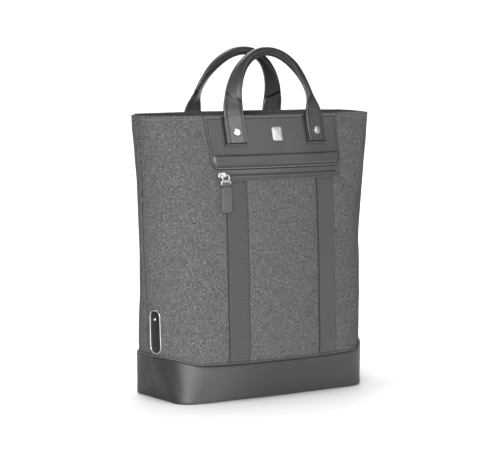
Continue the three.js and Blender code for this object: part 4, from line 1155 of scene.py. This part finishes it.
face_sheet("zip_tape_woven", zip_cloth, "zip_tape", TAPE_WIDTH / 2, tape_low,
           tape_high, tape_height, rows=40, low_corner=TAPE_CORNER, columns=120)
x, z = hem_path(TAPE_WIDTH / 2, tape_low, tape_high - 1, TAPE_CORNER, BINDING_STITCH)
sew("stitches_zip", [line_on_face(x, z, GAP + 1.25)], finish=dark_thread)

reach = TAPE_WIDTH / 2 - COIL_END
teeth = []
for number, x in enumerate(np.arange(-reach, reach, COIL_PITCH)):
    z = coil_middle + np.linspace(-0.5, 0.5, 3) * COIL_TOOTH
    z += COIL_STEP if number % 2 else -COIL_STEP
    teeth.append(line_on_face(x, z, GAP + 1.5))
points, faces = beads(teeth, length=COIL_TOOTH, gap=0.0, radius=COIL_WIRE)
make_piece("zip_coil_teeth", points, faces, coil_nylon, ["zip_coil"], sharp=80)
print("zip teeth:", len(teeth))

# %% [markdown]
# ## Webbing straps
# Two straps run from under the zip's binding down into the boot. Webbing shows its weft as ribs
# across it. They are raised 0.2 mm in the mesh, in step with the ribs of the material.

# %% Webbing straps
STRAP_THICK, RIB_RISE = 1.4, 0.2
strap_low, strap_high = BOOT_FRONT + 3 * GAP, tape_low - GAP


def strap_height(x, z, sides, all_round):
    inside = STRAP_WIDTH / 2 - np.abs(x)
    rib = RIB_RISE * np.abs(np.sin(math.pi * z / RIB)) * smooth_step(0.3, 1.6, inside)
    sheet = (STRAP_THICK - RIB_RISE) * (0.3 + 0.7 * rounded_edge(inside, 1.0))
    return sheet + rib - 0.25 * groove(inside, SELVEDGE, 0.5)


rows = int((strap_high - strap_low) / RIB * 4)
across = np.linspace(-STRAP_WIDTH / 2 + 1.5, STRAP_WIDTH / 2 - 1.5, 12)
lines = []
for name, hand in HANDS:
    face_sheet(f"webbing_{name}", webbing_cloth, f"strap_{name}", STRAP_WIDTH / 2,
               strap_low, strap_high, strap_height, centre=hand * STRAP_CENTRE, columns=18,
               rows=rows, edge=1.0)
    lines.append(line_on_face(hand * STRAP_CENTRE + across, strap_high - 2.2, GAP + STRAP_THICK))
sew("stitches_straps", lines, finish=dark_thread)
print("straps:", round(strap_high - strap_low, 1), "mm long")

# %% [markdown]
# ## Handles
# Each handle is a leather strap. Its ends lie flat on the yoke as tabs, and over the rim the strap
# turns outward and rolls round a cord into a grip 12.6 mm thick. On each leg the roll begins at a
# slanting fold. The handle is swept along its middle line: a section that is a flat strip at the tab
# and a circle at the grip follows the line and twists with it. The grip is tinted darker; painted
# shade lies on the tabs' sides, in the fold and the seams, and painted highlights on the rounded
# edges, on the tabs, most on each handle's left tab, and on each leg's inner side over its fold.

# %% The handle's line and section
HANDLE_RISE, HANDLE_STRAIGHT, TAB_THICK, GRIP_THICK = 89.5, 1.0, 3.2, 12.6
LEANS, RIM_BEND, TAB_LIFT = {-1: 0.24, 1: 0.31}, 9.0, 1.2
PATCH_THICK, PATCH_PEEK, PATCH_TOP_INSET = 1.0, 3.0, 6.0
PATCH_UNDER = 2 * GAP + YOKE_THICK
TAB_UNDER = PATCH_UNDER + PATCH_THICK + GAP
tab_low = BAG_HEIGHT - TAB_DROP
leg_top = BAG_HEIGHT + HANDLE_STRAIGHT
# Columns: share of the rise over the rim, flatness, outward twist in radians
HANDLE_FORM = np.array([
    (-0.14, 1.00, 0.00), (0.00, 0.99, 0.04), (0.10, 0.91, 0.16), (0.24, 0.72, 0.46),
    (0.42, 0.55, 0.62), (0.62, 0.36, 0.60), (0.85, 0.10, 0.30), (1.00, 0.00, 0.00),
])


def unit(v):
    return v / np.linalg.norm(v)


def lean(side, z):
    """How far the handle stands out from the face. It bends over the rim, and bends softly."""
    over = z - BAG_HEIGHT
    soft = (over + math.hypot(over, RIM_BEND)) / 2
    return side * (TAB_LIFT * float(smooth_step(378, 412, z)) - LEANS[side] * soft)


def leg_point(side, hand, z):
    """The middle of a leg: on the bag's face up to the rim, then leaning in over it."""
    point = face_point(hand * HANDLE_SPAN / 2, min(z, BAG_HEIGHT), TAB_UNDER + TAB_THICK / 2, side)
    return point + np.array([0, lean(side, z), max(0.0, z - BAG_HEIGHT)])


def handle_line(side, legs=24, arch=230):
    """Points along a handle from its left tab to its right one."""
    left = [leg_point(side, -1, z) for z in np.linspace(tab_low, leg_top, legs)[:-1]]
    right_leg = [leg_point(side, 1, z) for z in np.linspace(leg_top, tab_low, legs)[1:]]
    foot = leg_point(side, 1, leg_top)
    over = []
    for angle in np.linspace(math.pi, 0, arch):
        up = (HANDLE_RISE - HANDLE_STRAIGHT) * math.sin(angle)
        out = foot[1] + lean(side, leg_top + up) - lean(side, leg_top)
        over.append(np.array([foot[0] * math.cos(angle), out, leg_top + up]))
    return np.array(left + over + right_leg)


def handle_frames(side, line):
    """For each point of the line: its ways across and out, its flatness, width and thickness."""
    found = []
    for number, point in enumerate(line):
        ahead = unit(line[min(number + 1, len(line) - 1)] - line[max(number - 1, 0)])
        out = np.array([0.0, side, 0.0])
        out = unit(out - ahead * (out @ ahead))
        inward = unit(np.cross(ahead, out) * -side)
        flat, twist = read_smoothly(HANDLE_FORM, (point[2] - BAG_HEIGHT) / HANDLE_RISE)
        plan = plan_at(min(point[2], BAG_HEIGHT))
        turn = twist + math.atan(plan[2] * HANDLE_SPAN / plan[0] ** 2) * min(1, flat)
        across = inward * math.cos(turn) + out * math.sin(turn)
        through = out * math.cos(turn) - inward * math.sin(turn)
        flat = float(np.clip(flat, 0, 1))
        found.append((across, through, flat, GRIP_THICK + (TAB_WIDTH - GRIP_THICK) * flat,
                      GRIP_THICK + (TAB_THICK - GRIP_THICK) * flat**0.7))
    return found


# %% Sweep the handles
GRIP_SIDES, WRAP, GRIP_SHADE, TAB_PAINTED_SHEEN = 40, 0.25, 0.75, 0.22
FOLD_SHARE, FOLD_SLANT, STITCHED_SHARE, HANDLE_STITCH, LEG_SHEEN = 0.29, 0.06, 0.27, 4.0, 0.8


def handle_rings(side, line):
    """Rings of points round the line. A thin wrapping layer begins at a slanting fold on each leg."""
    turn = (np.arange(GRIP_SIDES) + 0.5) / GRIP_SIDES * 2 * math.pi
    c, s = np.cos(turn), np.sin(turn)
    rings, tints, frames = [], [], handle_frames(side, line)
    for point, (across, through, flat, width, thick) in zip(line, frames):
        rise = (point[2] - BAG_HEIGHT) / HANDLE_RISE
        roll = smooth_step(FOLD_SHARE - 0.1, FOLD_SHARE + 0.02, rise)
        power = 1 - 0.65 * flat * (1 - 0.75 * roll)
        x, y = squared_off(c, power) * width / 2, squared_off(s, power) * thick / 2
        share = x / (width / 2)
        past_fold = rise - FOLD_SHARE + FOLD_SLANT * share
        wrap = smooth_step(-0.012, 0.012, past_fold) - 0.5 * groove(past_fold, -0.02, 0.012)
        swell = 1 + WRAP * wrap * flat / np.maximum(np.hypot(x, y), 4)
        seam = groove(np.abs(np.sin(turn / 2)) * max(width, thick), 0, 0.7) * (1 - flat)
        seam, layer = 0.35 * seam, 0.3 * groove(y, 0, 0.35) * (np.abs(c) > 0.9) * flat
        size = swell * (1 - (seam + layer) / np.maximum(np.hypot(x, y), 1))
        rings.append(point + np.outer(x * size, across) + np.outer(y * size, through))
        # Painted shade on the tab sides, fold, seam and layers; painted highlights on edges, tabs and
        # legs.
        tab = smooth_step(0.02, -0.02, past_fold)
        lip = smooth_step(0.93, 0.985, np.abs(c)) * tab
        ridge = smooth_step(0.74, 0.82, np.abs(c)) * smooth_step(0.93, 0.88, np.abs(c)) * flat
        ridge -= groove(np.abs(x), width / 2 - HANDLE_STITCH, 1.2) * smooth_step(0.6, 0.9, flat)
        sheen = 0.1 * smooth_step(0.0, 0.05, rise) * tab
        if point[0] * side > 0:
            sheen = sheen + TAB_PAINTED_SHEEN * smooth_step(0.16, 0.0, rise)
        lit = groove(share, 0.55, 0.24) * smooth_step(0.0, 0.05, past_fold)
        sheen = sheen + LEG_SHEEN * lit * smooth_step(0.7, 0.35, rise)
        dark = 0.9 * lip + 0.9 * groove(past_fold, -0.01, 0.02) + seam + 1.5 * layer
        tints.append(sheen * (y > 0) + 0.5 * ridge - dark - GRIP_SHADE * (1 - flat))
    return np.array(rings), np.array(tints), frames


def handle_stitches(line, frames):
    """Two lines along each tab and leg, and two along the grip's seam."""
    lines = []
    share = (line[:, 2] - BAG_HEIGHT) / HANDLE_RISE
    for hand, used in ((1, slice(None, -2)), (-1, slice(2, None))):
        picked = np.flatnonzero((share < STITCHED_SHARE) & (line[:, 0] * hand > 0))[used]
        for edge in (-1, 1):
            path, out = [], []
            for n in picked:
                across, through, flat, width, thick = frames[n]
                inward = across * edge * (width / 2 - HANDLE_STITCH)
                path.append(line[n] + inward + through * (thick / 2 + 0.02))
                out.append(through)
            lines.append((path, out))
    for angle in (-0.3, 0.3):
        path, out = [], []
        for n in np.flatnonzero(share > 0.5):
            across, through, flat, width, thick = frames[n]
            wide, high = across * math.cos(angle), through * math.sin(angle)
            path.append(line[n] + (wide * width + high * thick) / 2)
            out.append(wide + high)
        lines.append((path, out))
    return lines


def handle(name, side, node):
    """One handle: its swept leather and its stitches."""
    line = handle_line(side)
    rings, tints, frames = handle_rings(side, line)
    caps = [line[end] + (rings[end] - line[end]) * 0.6 for end in (0, -1)]
    grid = np.concatenate([[caps[0]], rings, [caps[1]]])
    points = np.concatenate([grid.reshape(-1, 3), [line[0], line[-1]]])
    # The cap ends carry painted shade.
    end_tint = np.full(GRIP_SIDES, -0.3)
    shade = np.concatenate([end_tint, tints.ravel(), end_tint, [0.0, 0.0]])
    made = make_piece(name, points, capped_faces(len(grid), GRIP_SIDES), handle_leather, [node],
                      tint=shade)
    length = np.linalg.norm(np.diff(line, axis=0), axis=1).sum()
    print(name, "strap length", round(length, 0), "mm")
    sew(f"stitches_{name}", handle_stitches(line, frames), finish=dark_thread, radius=0.4)


handle("handle_front", -1, "front_handle")
handle("handle_back", 1, "back_handle")

# %% [markdown]
# ## Patches under the tabs
# Under each tab lies a leather patch that shows 3 mm below it. It spreads the pull of the handle
# over the yoke. Its edge is painted, so it is a thin sheet with a rounded rim.

# %% Patches
def patch_height(x, z, sides, all_round):
    return PATCH_THICK * (0.4 + 0.6 * rounded_edge(all_round, 0.7))


def patch_tint(x, z, sides, all_round):
    """Light along the painted edge, and painted shadow in the gap under the tab."""
    return EDGE_SHOWS * smooth_step(0.8, 0.1, all_round) - smooth_step(tab_low - 2.4, tab_low - 0.8, z)


for name, side in FACES:
    for hand_name, hand in HANDS:
        face_sheet(f"patch_{name}_{hand_name}", yoke_leather, f"{name}_patch_{hand_name}",
                   TAB_WIDTH / 2, tab_low - PATCH_PEEK, BAG_HEIGHT - PATCH_TOP_INSET,
                   patch_height, side, hand * HANDLE_SPAN / 2, PATCH_UNDER, edge=0.7, columns=24,
                   rows=24, tint=patch_tint)
print("patches", TAB_WIDTH, "mm wide show", PATCH_PEEK, "mm below the tabs")

# %% [markdown]
# ## Small metal pieces
# A rivet's head is a flat cap with round shoulders on a thin brim, spun on a lathe. The plaque in
# the middle of the yoke is a plain rounded plate, a little domed. They are built in a flat frame of
# their own and set down on the leather by a matrix, which turns with the face of the bag.

# %% Frames on a face and turned forms
def face_frame(x, z, proud, side=-1):
    """A matrix for a place on a face: first axis along it, second up it, third straight out."""
    here = face_point(x, z, 0, side)
    along = unit(face_point(x - side, z, 0, side) - here)
    up = face_point(x, z + 1, 0, side) - face_point(x, z - 1, 0, side)
    up = unit(up - along * (up @ along))
    out = np.cross(along, up)
    made = np.eye(4)
    made[:3] = np.column_stack([along, up, out, here + out * proud])
    return made


def placed(matrix, points):
    return np.asarray(points, float) @ matrix[:3, :3].T + matrix[:3, 3]


def stacked(outlines):
    """A solid from outlines stacked into rings, closed at its two ends by a centre point."""
    grid = np.asarray(outlines, float)
    points = np.concatenate([grid.reshape(-1, 3), [grid[0].mean(0), grid[-1].mean(0)]])
    return points, capped_faces(*grid.shape[:2])


def outward_of(outline):
    """Directions straight out of a closed outline."""
    ahead = np.roll(outline, -1, 0) - np.roll(outline, 1, 0)
    out = np.stack([ahead[:, 1], -ahead[:, 0]], -1)
    return out / np.linalg.norm(out, axis=1, keepdims=True)


def rounded_outline(width, height, corner, parts=8):
    """Points round a rectangle with rounded corners, the same number for every size."""
    corner = min(corner, width / 2 - 1e-3, height / 2 - 1e-3)
    found = []
    for number in range(4):
        cx = (width / 2 - corner) * (1 if number in (0, 3) else -1)
        cy = (height / 2 - corner) * (1 if number in (0, 1) else -1)
        for k in range(parts + 1):
            angle = (number + k / parts) * math.pi / 2
            found.append((cx + corner * math.cos(angle), cy + corner * math.sin(angle)))
    return np.array(found)


def bevelled_plate(width, height, corner, thick, bevel, dome=0.0):
    """Rings of a plate from z 0 to thick, with rounded upper and lower edges and a slight dome."""
    rings = []
    for share in np.linspace(0, 1, 5):
        angle = share * math.pi / 2
        inset = bevel * 0.5 * (1 - math.sin(angle))
        rings.append((inset, bevel * 0.5 * (1 - math.cos(angle))))
    for share in np.linspace(0, 1, 6):
        angle = share * math.pi / 2
        rings.append((bevel * (1 - math.cos(angle)), thick - bevel + bevel * math.sin(angle)))
    half = min(width, height) / 2
    for share in (0.3, 0.6, 0.85):
        inset = bevel + (half - bevel) * share
        rings.append((inset, thick + dome * (1 - (1 - share) ** 2)))
    made = []
    for inset, z in rings:
        outline = rounded_outline(width - 2 * inset, height - 2 * inset, max(corner - inset, 0.2))
        made.append(np.column_stack([outline, np.full(len(outline), z)]))
    return made


def lathe(profile, sides=48):
    turn = np.arange(sides) / sides * 2 * math.pi
    return [np.column_stack([r * np.cos(turn), r * np.sin(turn), 0 * turn + z]) for r, z in profile]


def metal_piece(name, points, faces, node, finish=polished, body="bag"):
    make_piece(name, points, faces, finish, [node], body=body, sharp=40)


# %% Rivets and plaque
RIVET_WIDTH, RIVET_RISE, RIVET_DROP = 11.0, 2.6, 24.5
RIVET_ROUND = 1.2
brim = RIVET_WIDTH / 2
rivet_profile = [(0.5, 0), (brim - 0.2, 0), (brim, 0.15), (brim, 1.1)]
for angle in np.linspace(0.15, 1.45, 7):
    rivet_profile.append((brim - RIVET_ROUND * (1 - math.cos(angle)),
                          RIVET_ROUND + 1.25 * math.sin(angle)))
rivet_profile += [(3.4, RIVET_RISE - 0.1), (1.8, RIVET_RISE - 0.03), (0.6, RIVET_RISE)]
for name, side in FACES:
    for hand_name, hand in HANDS:
        seat = face_frame(hand * HANDLE_SPAN / 2, BAG_HEIGHT - RIVET_DROP,
                          TAB_UNDER + TAB_THICK + GAP, side)
        points, faces = stacked(lathe(rivet_profile))
        metal_piece(f"rivet_{name}_{hand_name}", placed(seat, points), faces,
                    f"{name}_rivet_{hand_name}")

PLAQUE_WIDTH, PLAQUE_HEIGHT, PLAQUE_THICK, PLAQUE_CORNER, PLAQUE_DROP = 17.0, 20.0, 1.6, 2.8, 27.0
PLAQUE_DOME = 0.3
points, faces = stacked(bevelled_plate(PLAQUE_WIDTH, PLAQUE_HEIGHT, PLAQUE_CORNER,
                                       PLAQUE_THICK - PLAQUE_DOME, 0.5, PLAQUE_DOME))
seat = face_frame(0, BAG_HEIGHT - PLAQUE_DROP, PATCH_UNDER)
metal_piece("plaque", placed(seat, points), faces, "plain_plaque", brushed)
print("rivets", RIVET_WIDTH, "mm, plaque", PLAQUE_WIDTH, "by", PLAQUE_HEIGHT, "mm")

# %% [markdown]
# ## Oval plate on the side
# A die-cast frame in the shape of a long oval is fixed low on the left side, with a black resin
# inlay and a small stud near its top. It follows the curve of the canvas, so it is built straight on
# the bag's form: its rim is a rounded section swept round the oval.

# %% Oval plate
PLATE_THICK, PLATE_RIM, RIM_SIDE, INLAY_THICK, STUD_FROM_TOP = 2.6, 1.4, 1.3, 1.4, 13.0
plate_middle = PLATE_LOW + PLATE_HEIGHT / 2


def flank_point(away, z, proud):
    """A point of the left side by its distance round from the plate's middle line."""
    return shell_point(away / sum(stretches(plan_at(z))) - PLATE_PLACE, z, proud)


outline = rounded_outline(PLATE_WIDTH, PLATE_HEIGHT, PLATE_WIDTH / 2, 24)
section = [(0.0, 0.0)]
for angle in np.linspace(0, math.pi, 9):
    rise = RIM_SIDE + (PLATE_THICK - RIM_SIDE) * math.sin(angle) ** 0.8
    section.append((PLATE_RIM / 2 * (1 - math.cos(angle)), rise))
section.append((PLATE_RIM, 0.0))
rows = []
for inset, rise in section:
    place = outline - outward_of(outline) * inset
    rows.append(flank_point(place[:, 0], plate_middle + place[:, 1], GAP + rise))
metal_piece("oval_rim", np.concatenate(rows), looped_faces(len(rows), len(outline)), "side_plate_rim")

inset = PLATE_RIM + GAP / 2
rings = []
for share, rise in ((0.2, 0.0), (0.95, 0.0), (1.0, 0.15), (1.0, INLAY_THICK - 0.3),
                    (0.97, INLAY_THICK - 0.08), (0.9, INLAY_THICK), (0.6, INLAY_THICK + 0.12),
                    (0.3, INLAY_THICK + 0.2)):
    place = rounded_outline(PLATE_WIDTH - 2 * inset, PLATE_HEIGHT - 2 * inset, PLATE_WIDTH, 24)
    place = np.sign(place) * np.maximum(np.abs(place) - (1 - share) * (PLATE_WIDTH / 2 - inset), 0)
    rings.append(flank_point(place[:, 0], plate_middle + place[:, 1], GAP + rise))
points, faces = stacked(rings)
metal_piece("oval_inlay", points, faces, "side_plate_inlay", resin)

stud_z = PLATE_LOW + PLATE_HEIGHT - STUD_FROM_TOP
seat = flank_point(0.0, stud_z, GAP + INLAY_THICK + 0.15)
out = unit(flank_point(0.0, stud_z, 5.0) - seat)
side_way = unit(np.cross([0, 0, 1], out))
stud_frame = np.eye(4)
stud_frame[:3] = np.column_stack([side_way, np.cross(out, side_way), out, seat])
stud_profile = [(0.3, 0), (2.0, 0), (2.0, 0.3), (1.7, 0.65), (1.2, 0.9), (0.6, 1.05)]
points, faces = stacked(lathe(stud_profile, 32))
metal_piece("oval_stud", placed(stud_frame, points), faces, "side_plate_stud")
print("oval plate", PLATE_WIDTH, "by", PLATE_HEIGHT, "mm")

# %% [markdown]
# ## Zip slider and pull
# The slider is a small die-cast shell that straddles the coil, with a bridge on its back. The pull
# hangs in the bridge: a ring, a slotted bar below it, and a leather tab folded through the slot.
# Ring and bar are wires bent to a rounded rectangle, so they are swept from a rounded section. The
# pull is a body of its own, which swings about the ring's top wire.

# %% Zip slider
SLIDER_PLACE, SLIDER_LENGTH, SLIDER_HEIGHT = -99.0, 12.0, 9.0
COIL_THICK, SLIDER_THICK, PULL_SHIFT, BRIDGE_SHIFT, BRIDGE_WIDTH = 1.2, 2.0, 4.4, 3.2, 3.0
PULL_THICK, PULL_WIRE, HINGE_PLAY, BRIDGE_WIRE = 2.0, 1.9, 0.35, 1.4
slider_under = 2 * GAP + 1.0
slider_top = slider_under + COIL_THICK + GAP + SLIDER_THICK
pin_radius = math.hypot(PULL_WIRE, PULL_THICK) / 2
bridge_hole = pin_radius + HINGE_PLAY
hinge_height = slider_top + bridge_hole
slider_frame = face_frame(SLIDER_PLACE, coil_middle, 0)


def tapered(rings, share):
    """Narrows a plate towards one end, as a slider's body narrows towards its tail."""
    return [np.column_stack([r[:, 0], r[:, 1] * (1 - share * (0.5 - r[:, 0] / SLIDER_LENGTH)), r[:, 2]])
            for r in rings]


upper = tapered(bevelled_plate(SLIDER_LENGTH, SLIDER_HEIGHT, 3.4, SLIDER_THICK, 0.8, 0.25), 0.3)
upper = [ring + [0, 0, slider_top - SLIDER_THICK] for ring in upper]
pieces = [stacked(upper)]
for rail in (-1, 1):
    rail_height = slider_top - SLIDER_THICK - slider_under + 0.4
    ring = bevelled_plate(SLIDER_LENGTH - 2.4, 1.5, 0.7, rail_height, 0.3)
    pieces.append(stacked([r + [0.4, rail * 2.7, slider_under] for r in ring]))
arch = []
middle_radius = bridge_hole + BRIDGE_WIRE / 2
way = [(-middle_radius, slider_top - 1.2), (-middle_radius, slider_top)]
way += [(-middle_radius * math.cos(angle), hinge_height + middle_radius * math.sin(angle))
        for angle in np.linspace(0, math.pi, 17)]
way += [(middle_radius, slider_top), (middle_radius, slider_top - 1.2)]
turn = np.arange(16) / 16 * 2 * math.pi
for number, (y, z) in enumerate(way):
    y0, z0 = way[max(number - 1, 0)]
    y1, z1 = way[min(number + 1, len(way) - 1)]
    norm = math.hypot(y1 - y0, z1 - z0)
    across = np.array([0, (z1 - z0) / norm, -(y1 - y0) / norm])
    c, s = np.cos(turn), np.sin(turn)
    flat, deep = squared_off(c, 0.6) * BRIDGE_WIDTH / 2, squared_off(s, 0.6) * BRIDGE_WIRE / 2
    arch.append(np.outer(flat, [1, 0, 0]) + np.outer(deep, across) + [BRIDGE_SHIFT, y, z])
pieces.append(stacked(arch))


def joined(pieces):
    """Several point and face lists as one."""
    points, faces, base = [], [], 0
    for some, more in pieces:
        points.append(np.asarray(some))
        faces += [[int(k) + base for k in face] for face in more]
        base += len(some)
    return np.concatenate(points), faces


points, faces = joined(pieces)
metal_piece("slider_body", placed(slider_frame, points), faces, "zip_slider")
print("slider", SLIDER_LENGTH, "by", SLIDER_HEIGHT, "mm")

# %% Pull: ring and slotted bar
RING_WIDTH, RING_HEIGHT, SLOT_BAR_WIDTH, SLOT_BAR_HEIGHT = 12.0, 9.5, 16.0, 7.0
PULL_TILT, WIRE_SIDES = math.radians(4.5), 14
pull_turn = np.eye(4)
c, s = math.cos(PULL_TILT), math.sin(PULL_TILT)
pull_turn[1:3, 1:3] = [[c, -s], [s, c]]
pull_turn[:3, 3] = [PULL_SHIFT, 0, hinge_height]
pull_frame = slider_frame @ pull_turn


def wire_loop(width, height, corner, middle):
    """A wire of rounded section bent to a rounded rectangle of that outer size."""
    outline = rounded_outline(width - PULL_WIRE, height - PULL_WIRE, corner, 10)
    rows = []
    for angle in np.arange(WIRE_SIDES) / WIRE_SIDES * 2 * math.pi:
        off = squared_off(math.cos(angle), 0.75) * PULL_WIRE / 2
        high = squared_off(math.sin(angle), 0.75) * PULL_THICK / 2
        place = outline + outward_of(outline) * off
        rows.append(np.column_stack([place[:, 0], place[:, 1] + middle, np.full(len(place), high)]))
    return np.concatenate(rows), looped_faces(len(rows), len(outline))


ring_middle = PULL_WIRE / 2 - RING_HEIGHT / 2
bar_middle = PULL_WIRE / 2 - RING_HEIGHT - SLOT_BAR_HEIGHT / 2 + PULL_WIRE / 2
plate_low, plate_high = bar_middle + SLOT_BAR_HEIGHT / 2 - 3.4, bar_middle + SLOT_BAR_HEIGHT / 2 - 0.2
bar_plate = bevelled_plate(SLOT_BAR_WIDTH - 0.6, plate_high - plate_low, 0.8, PULL_THICK - 0.2, 0.4)
bar_plate = [ring + [0, (plate_low + plate_high) / 2, 0.1 - PULL_THICK / 2] for ring in bar_plate]
points, faces = joined([wire_loop(RING_WIDTH, RING_HEIGHT, 2.6, ring_middle),
                        wire_loop(SLOT_BAR_WIDTH, SLOT_BAR_HEIGHT, 1.6, bar_middle),
                        stacked(bar_plate)])
metal_piece("pull_ring", placed(pull_frame, points), faces, "zip_pull", body="zip_pull")
print("pull ring", RING_WIDTH, "mm wide, slotted bar", SLOT_BAR_WIDTH, "mm")

# %% Pull: leather tab
PULL_TAB_LENGTH, PULL_TAB_THICK, PULL_TAB_CORNER, LAYER, LOOP_SIDES = 36.0, 3.0, 4.0, 1.0, 32
low_bar = bar_middle - SLOT_BAR_HEIGHT / 2 + PULL_WIRE / 2
loop_hole = pin_radius + GAP
tab_top = low_bar - loop_hole - LAYER
tab_end = tab_top - PULL_TAB_LENGTH


def tab_faces():
    """Front and back grids of the tab, padded in the middle, with a stitch line and a pressed ring."""
    y = tab_end + stops(PULL_TAB_LENGTH, 1.0, 70)
    u = stops(SLOT_BAR_WIDTH, 1.0, 36) - SLOT_BAR_WIDTH / 2
    y, x = np.meshgrid(y, u, indexing="ij")
    half = SLOT_BAR_WIDTH / 2
    fold = PULL_TAB_CORNER
    for end, way in ((tab_end, 1), (tab_top, -1)):
        drop = np.maximum(0, fold - way * (y - end))
        reach = half - fold + np.sqrt(np.maximum(0, fold**2 - drop**2))
        x = np.where(drop > 0, x / half * reach, x)
    inside = np.minimum(half - np.abs(x), np.minimum(y - tab_end, tab_top - y))
    corner_y = np.maximum(tab_end + fold - y, y - tab_top + fold)
    corner_x = np.abs(x) - half + fold
    in_corner = (corner_y > 0) & (corner_x > 0)
    bend = fold - np.hypot(np.maximum(corner_x, 0), np.maximum(corner_y, 0))
    inside = np.maximum(np.where(in_corner, bend, inside), 0)
    rise = PULL_TAB_THICK / 2 * (0.45 + 0.55 * rounded_edge(inside, 0.8))
    rise -= 0.25 * groove(inside, 2.0, 0.5)
    ring = np.hypot(x, y - tab_end - 7.5)
    front = rise - 0.3 * groove(ring, 3.2, 0.45)
    return np.stack([x, y, front], -1), np.stack([x, y, -rise], -1)


front, back = tab_faces()
body_mesh = closed_sheet(front, back)
turn = np.linspace(0, 2 * math.pi, LOOP_SIDES + 1)[:-1]
loop_half = (SLOT_BAR_WIDTH - 2 * PULL_WIRE - 2 * GAP) / 2
outer = loop_hole + LAYER - 0.25
loop = []
for x, radius in ((-loop_half, outer), (0.3 - loop_half, outer + 0.25), (loop_half - 0.3, outer + 0.25),
                  (loop_half, outer), (loop_half, loop_hole), (-loop_half, loop_hole)):
    loop.append(np.column_stack([0 * turn + x, low_bar + radius * np.cos(turn), radius * np.sin(turn)]))
loop_faces = looped_faces(len(loop), LOOP_SIDES)
points, faces = joined([body_mesh, (np.concatenate(loop), loop_faces)])
make_piece("pull_leather", placed(pull_frame, points), faces, pull_hide, ["pull_tab"], body="zip_pull",
           sharp=60)
edge = rounded_outline(SLOT_BAR_WIDTH - 4, PULL_TAB_LENGTH - 4, PULL_TAB_CORNER - 2, 6)
edge = np.concatenate([edge, edge[:1]])
path = np.column_stack([edge[:, 0], edge[:, 1] + (tab_top + tab_end) / 2,
                        np.full(len(edge), PULL_TAB_THICK / 2 - 0.1)])
pull_out = np.repeat([pull_frame[:3, 2]], len(path), 0)
sew("stitches_pull", [(placed(pull_frame, path), pull_out)], body="zip_pull", length=2.0,
    gap=0.8, radius=0.25)

# %% [markdown]
# ## Floor and light
# The bag stands on a plain pale floor that runs back and curves up into a wall, as a paper sweep
# does in a studio. The main light is a large soft lamp at the left front, nearly facing the corner
# between the front and the left side: that corner is the brightest place of the bag, and the
# bowed front darkens as it turns away to the right. A smaller lamp at the right front is seen in the
# leather and the metal, as a sheen on the left part of the yoke. One from above draws the grips,
# a weak one from behind keeps the back readable, and another shines on the wall alone, so that the
# background stays white.

# %% Floor and light
SWEEP_FRONT, SWEEP_BACK, SWEEP_CURVE, SWEEP_HIGH, SWEEP_HALF = -1.0, 2.6, 2.0, 5.5, 1.2

WORLD_LIGHT = 0.14
paper = grained("pale_paper_sweep", 3.0, "#fafafa", "#fdfdfd", Roughness=0.95,
                Specular_IOR_Level=0.1)
angle = np.linspace(0, math.pi / 2, 24)
profile = np.concatenate([
    [[SWEEP_FRONT, 0]],
    np.stack([SWEEP_BACK + SWEEP_CURVE * np.sin(angle), SWEEP_CURVE * (1 - np.cos(angle))], -1),
    [[SWEEP_BACK + SWEEP_CURVE, SWEEP_HIGH]],
])
away = np.array([level.x, level.y])
beside = np.array([right.x, right.y])
corners = [
    [*(away * reach + beside * hand * SWEEP_HALF), height - 0.0002]
    for reach, height in profile for hand in (-1, 1)
]
sweep_mesh = bpy.data.meshes.new("sweep")
sweep_mesh.from_pydata(corners, [], grid_faces(len(profile), 2)[:, ::-1].tolist())
sweep_mesh.materials.append(paper)
sweep_mesh.shade_smooth()
sweep = bpy.data.objects.new("sweep", sweep_mesh)
bpy.context.scene.collection.objects.link(sweep)


def softbox(name, place, aim, size, watts):
    """A square lamp at a place in metres, turned to its aim."""
    lamp = bpy.data.lights.new(name, "AREA")
    lamp.shape, lamp.size, lamp.energy = "SQUARE", size, watts
    holder = bpy.data.objects.new(name, lamp)
    holder.location = place
    holder.rotation_euler = (Vector(aim) - Vector(place)).to_track_quat("-Z", "Y").to_euler()
    bpy.context.scene.collection.objects.link(holder)


wall = away * (SWEEP_BACK + SWEEP_CURVE)
# Columns: name, place and aim in metres, size in metres, power in watts
for lamp in (
    ("main_light", (-2.1, -2.5, 0.85), (0, 0, 0.2), 1.3, 135),
    ("front_light", (1.34, -2.52, 1.4), (0, 0, 0.35), 0.8, 12),
    ("top_light", (-0.3, 0.2, 2.4), (0, 0, 0.35), 1.2, 31),
    ("back_light", (1.6, 2.3, 1.3), (0, 0, 0.2), 1.4, 22),
    ("wall_light", (*(away * 1.6), 3.2), (*wall, 1.0), 3.0, 120),
):
    softbox(*lamp)
surround = bpy.data.worlds.new("pale_room")
surround.use_nodes = True
glow = surround.node_tree.nodes["Background"]
glow.inputs["Color"].default_value = (1, 1, 1, 1)
glow.inputs["Strength"].default_value = WORLD_LIGHT
bpy.context.scene.world = surround
bpy.context.scene.view_settings.view_transform = "Standard"
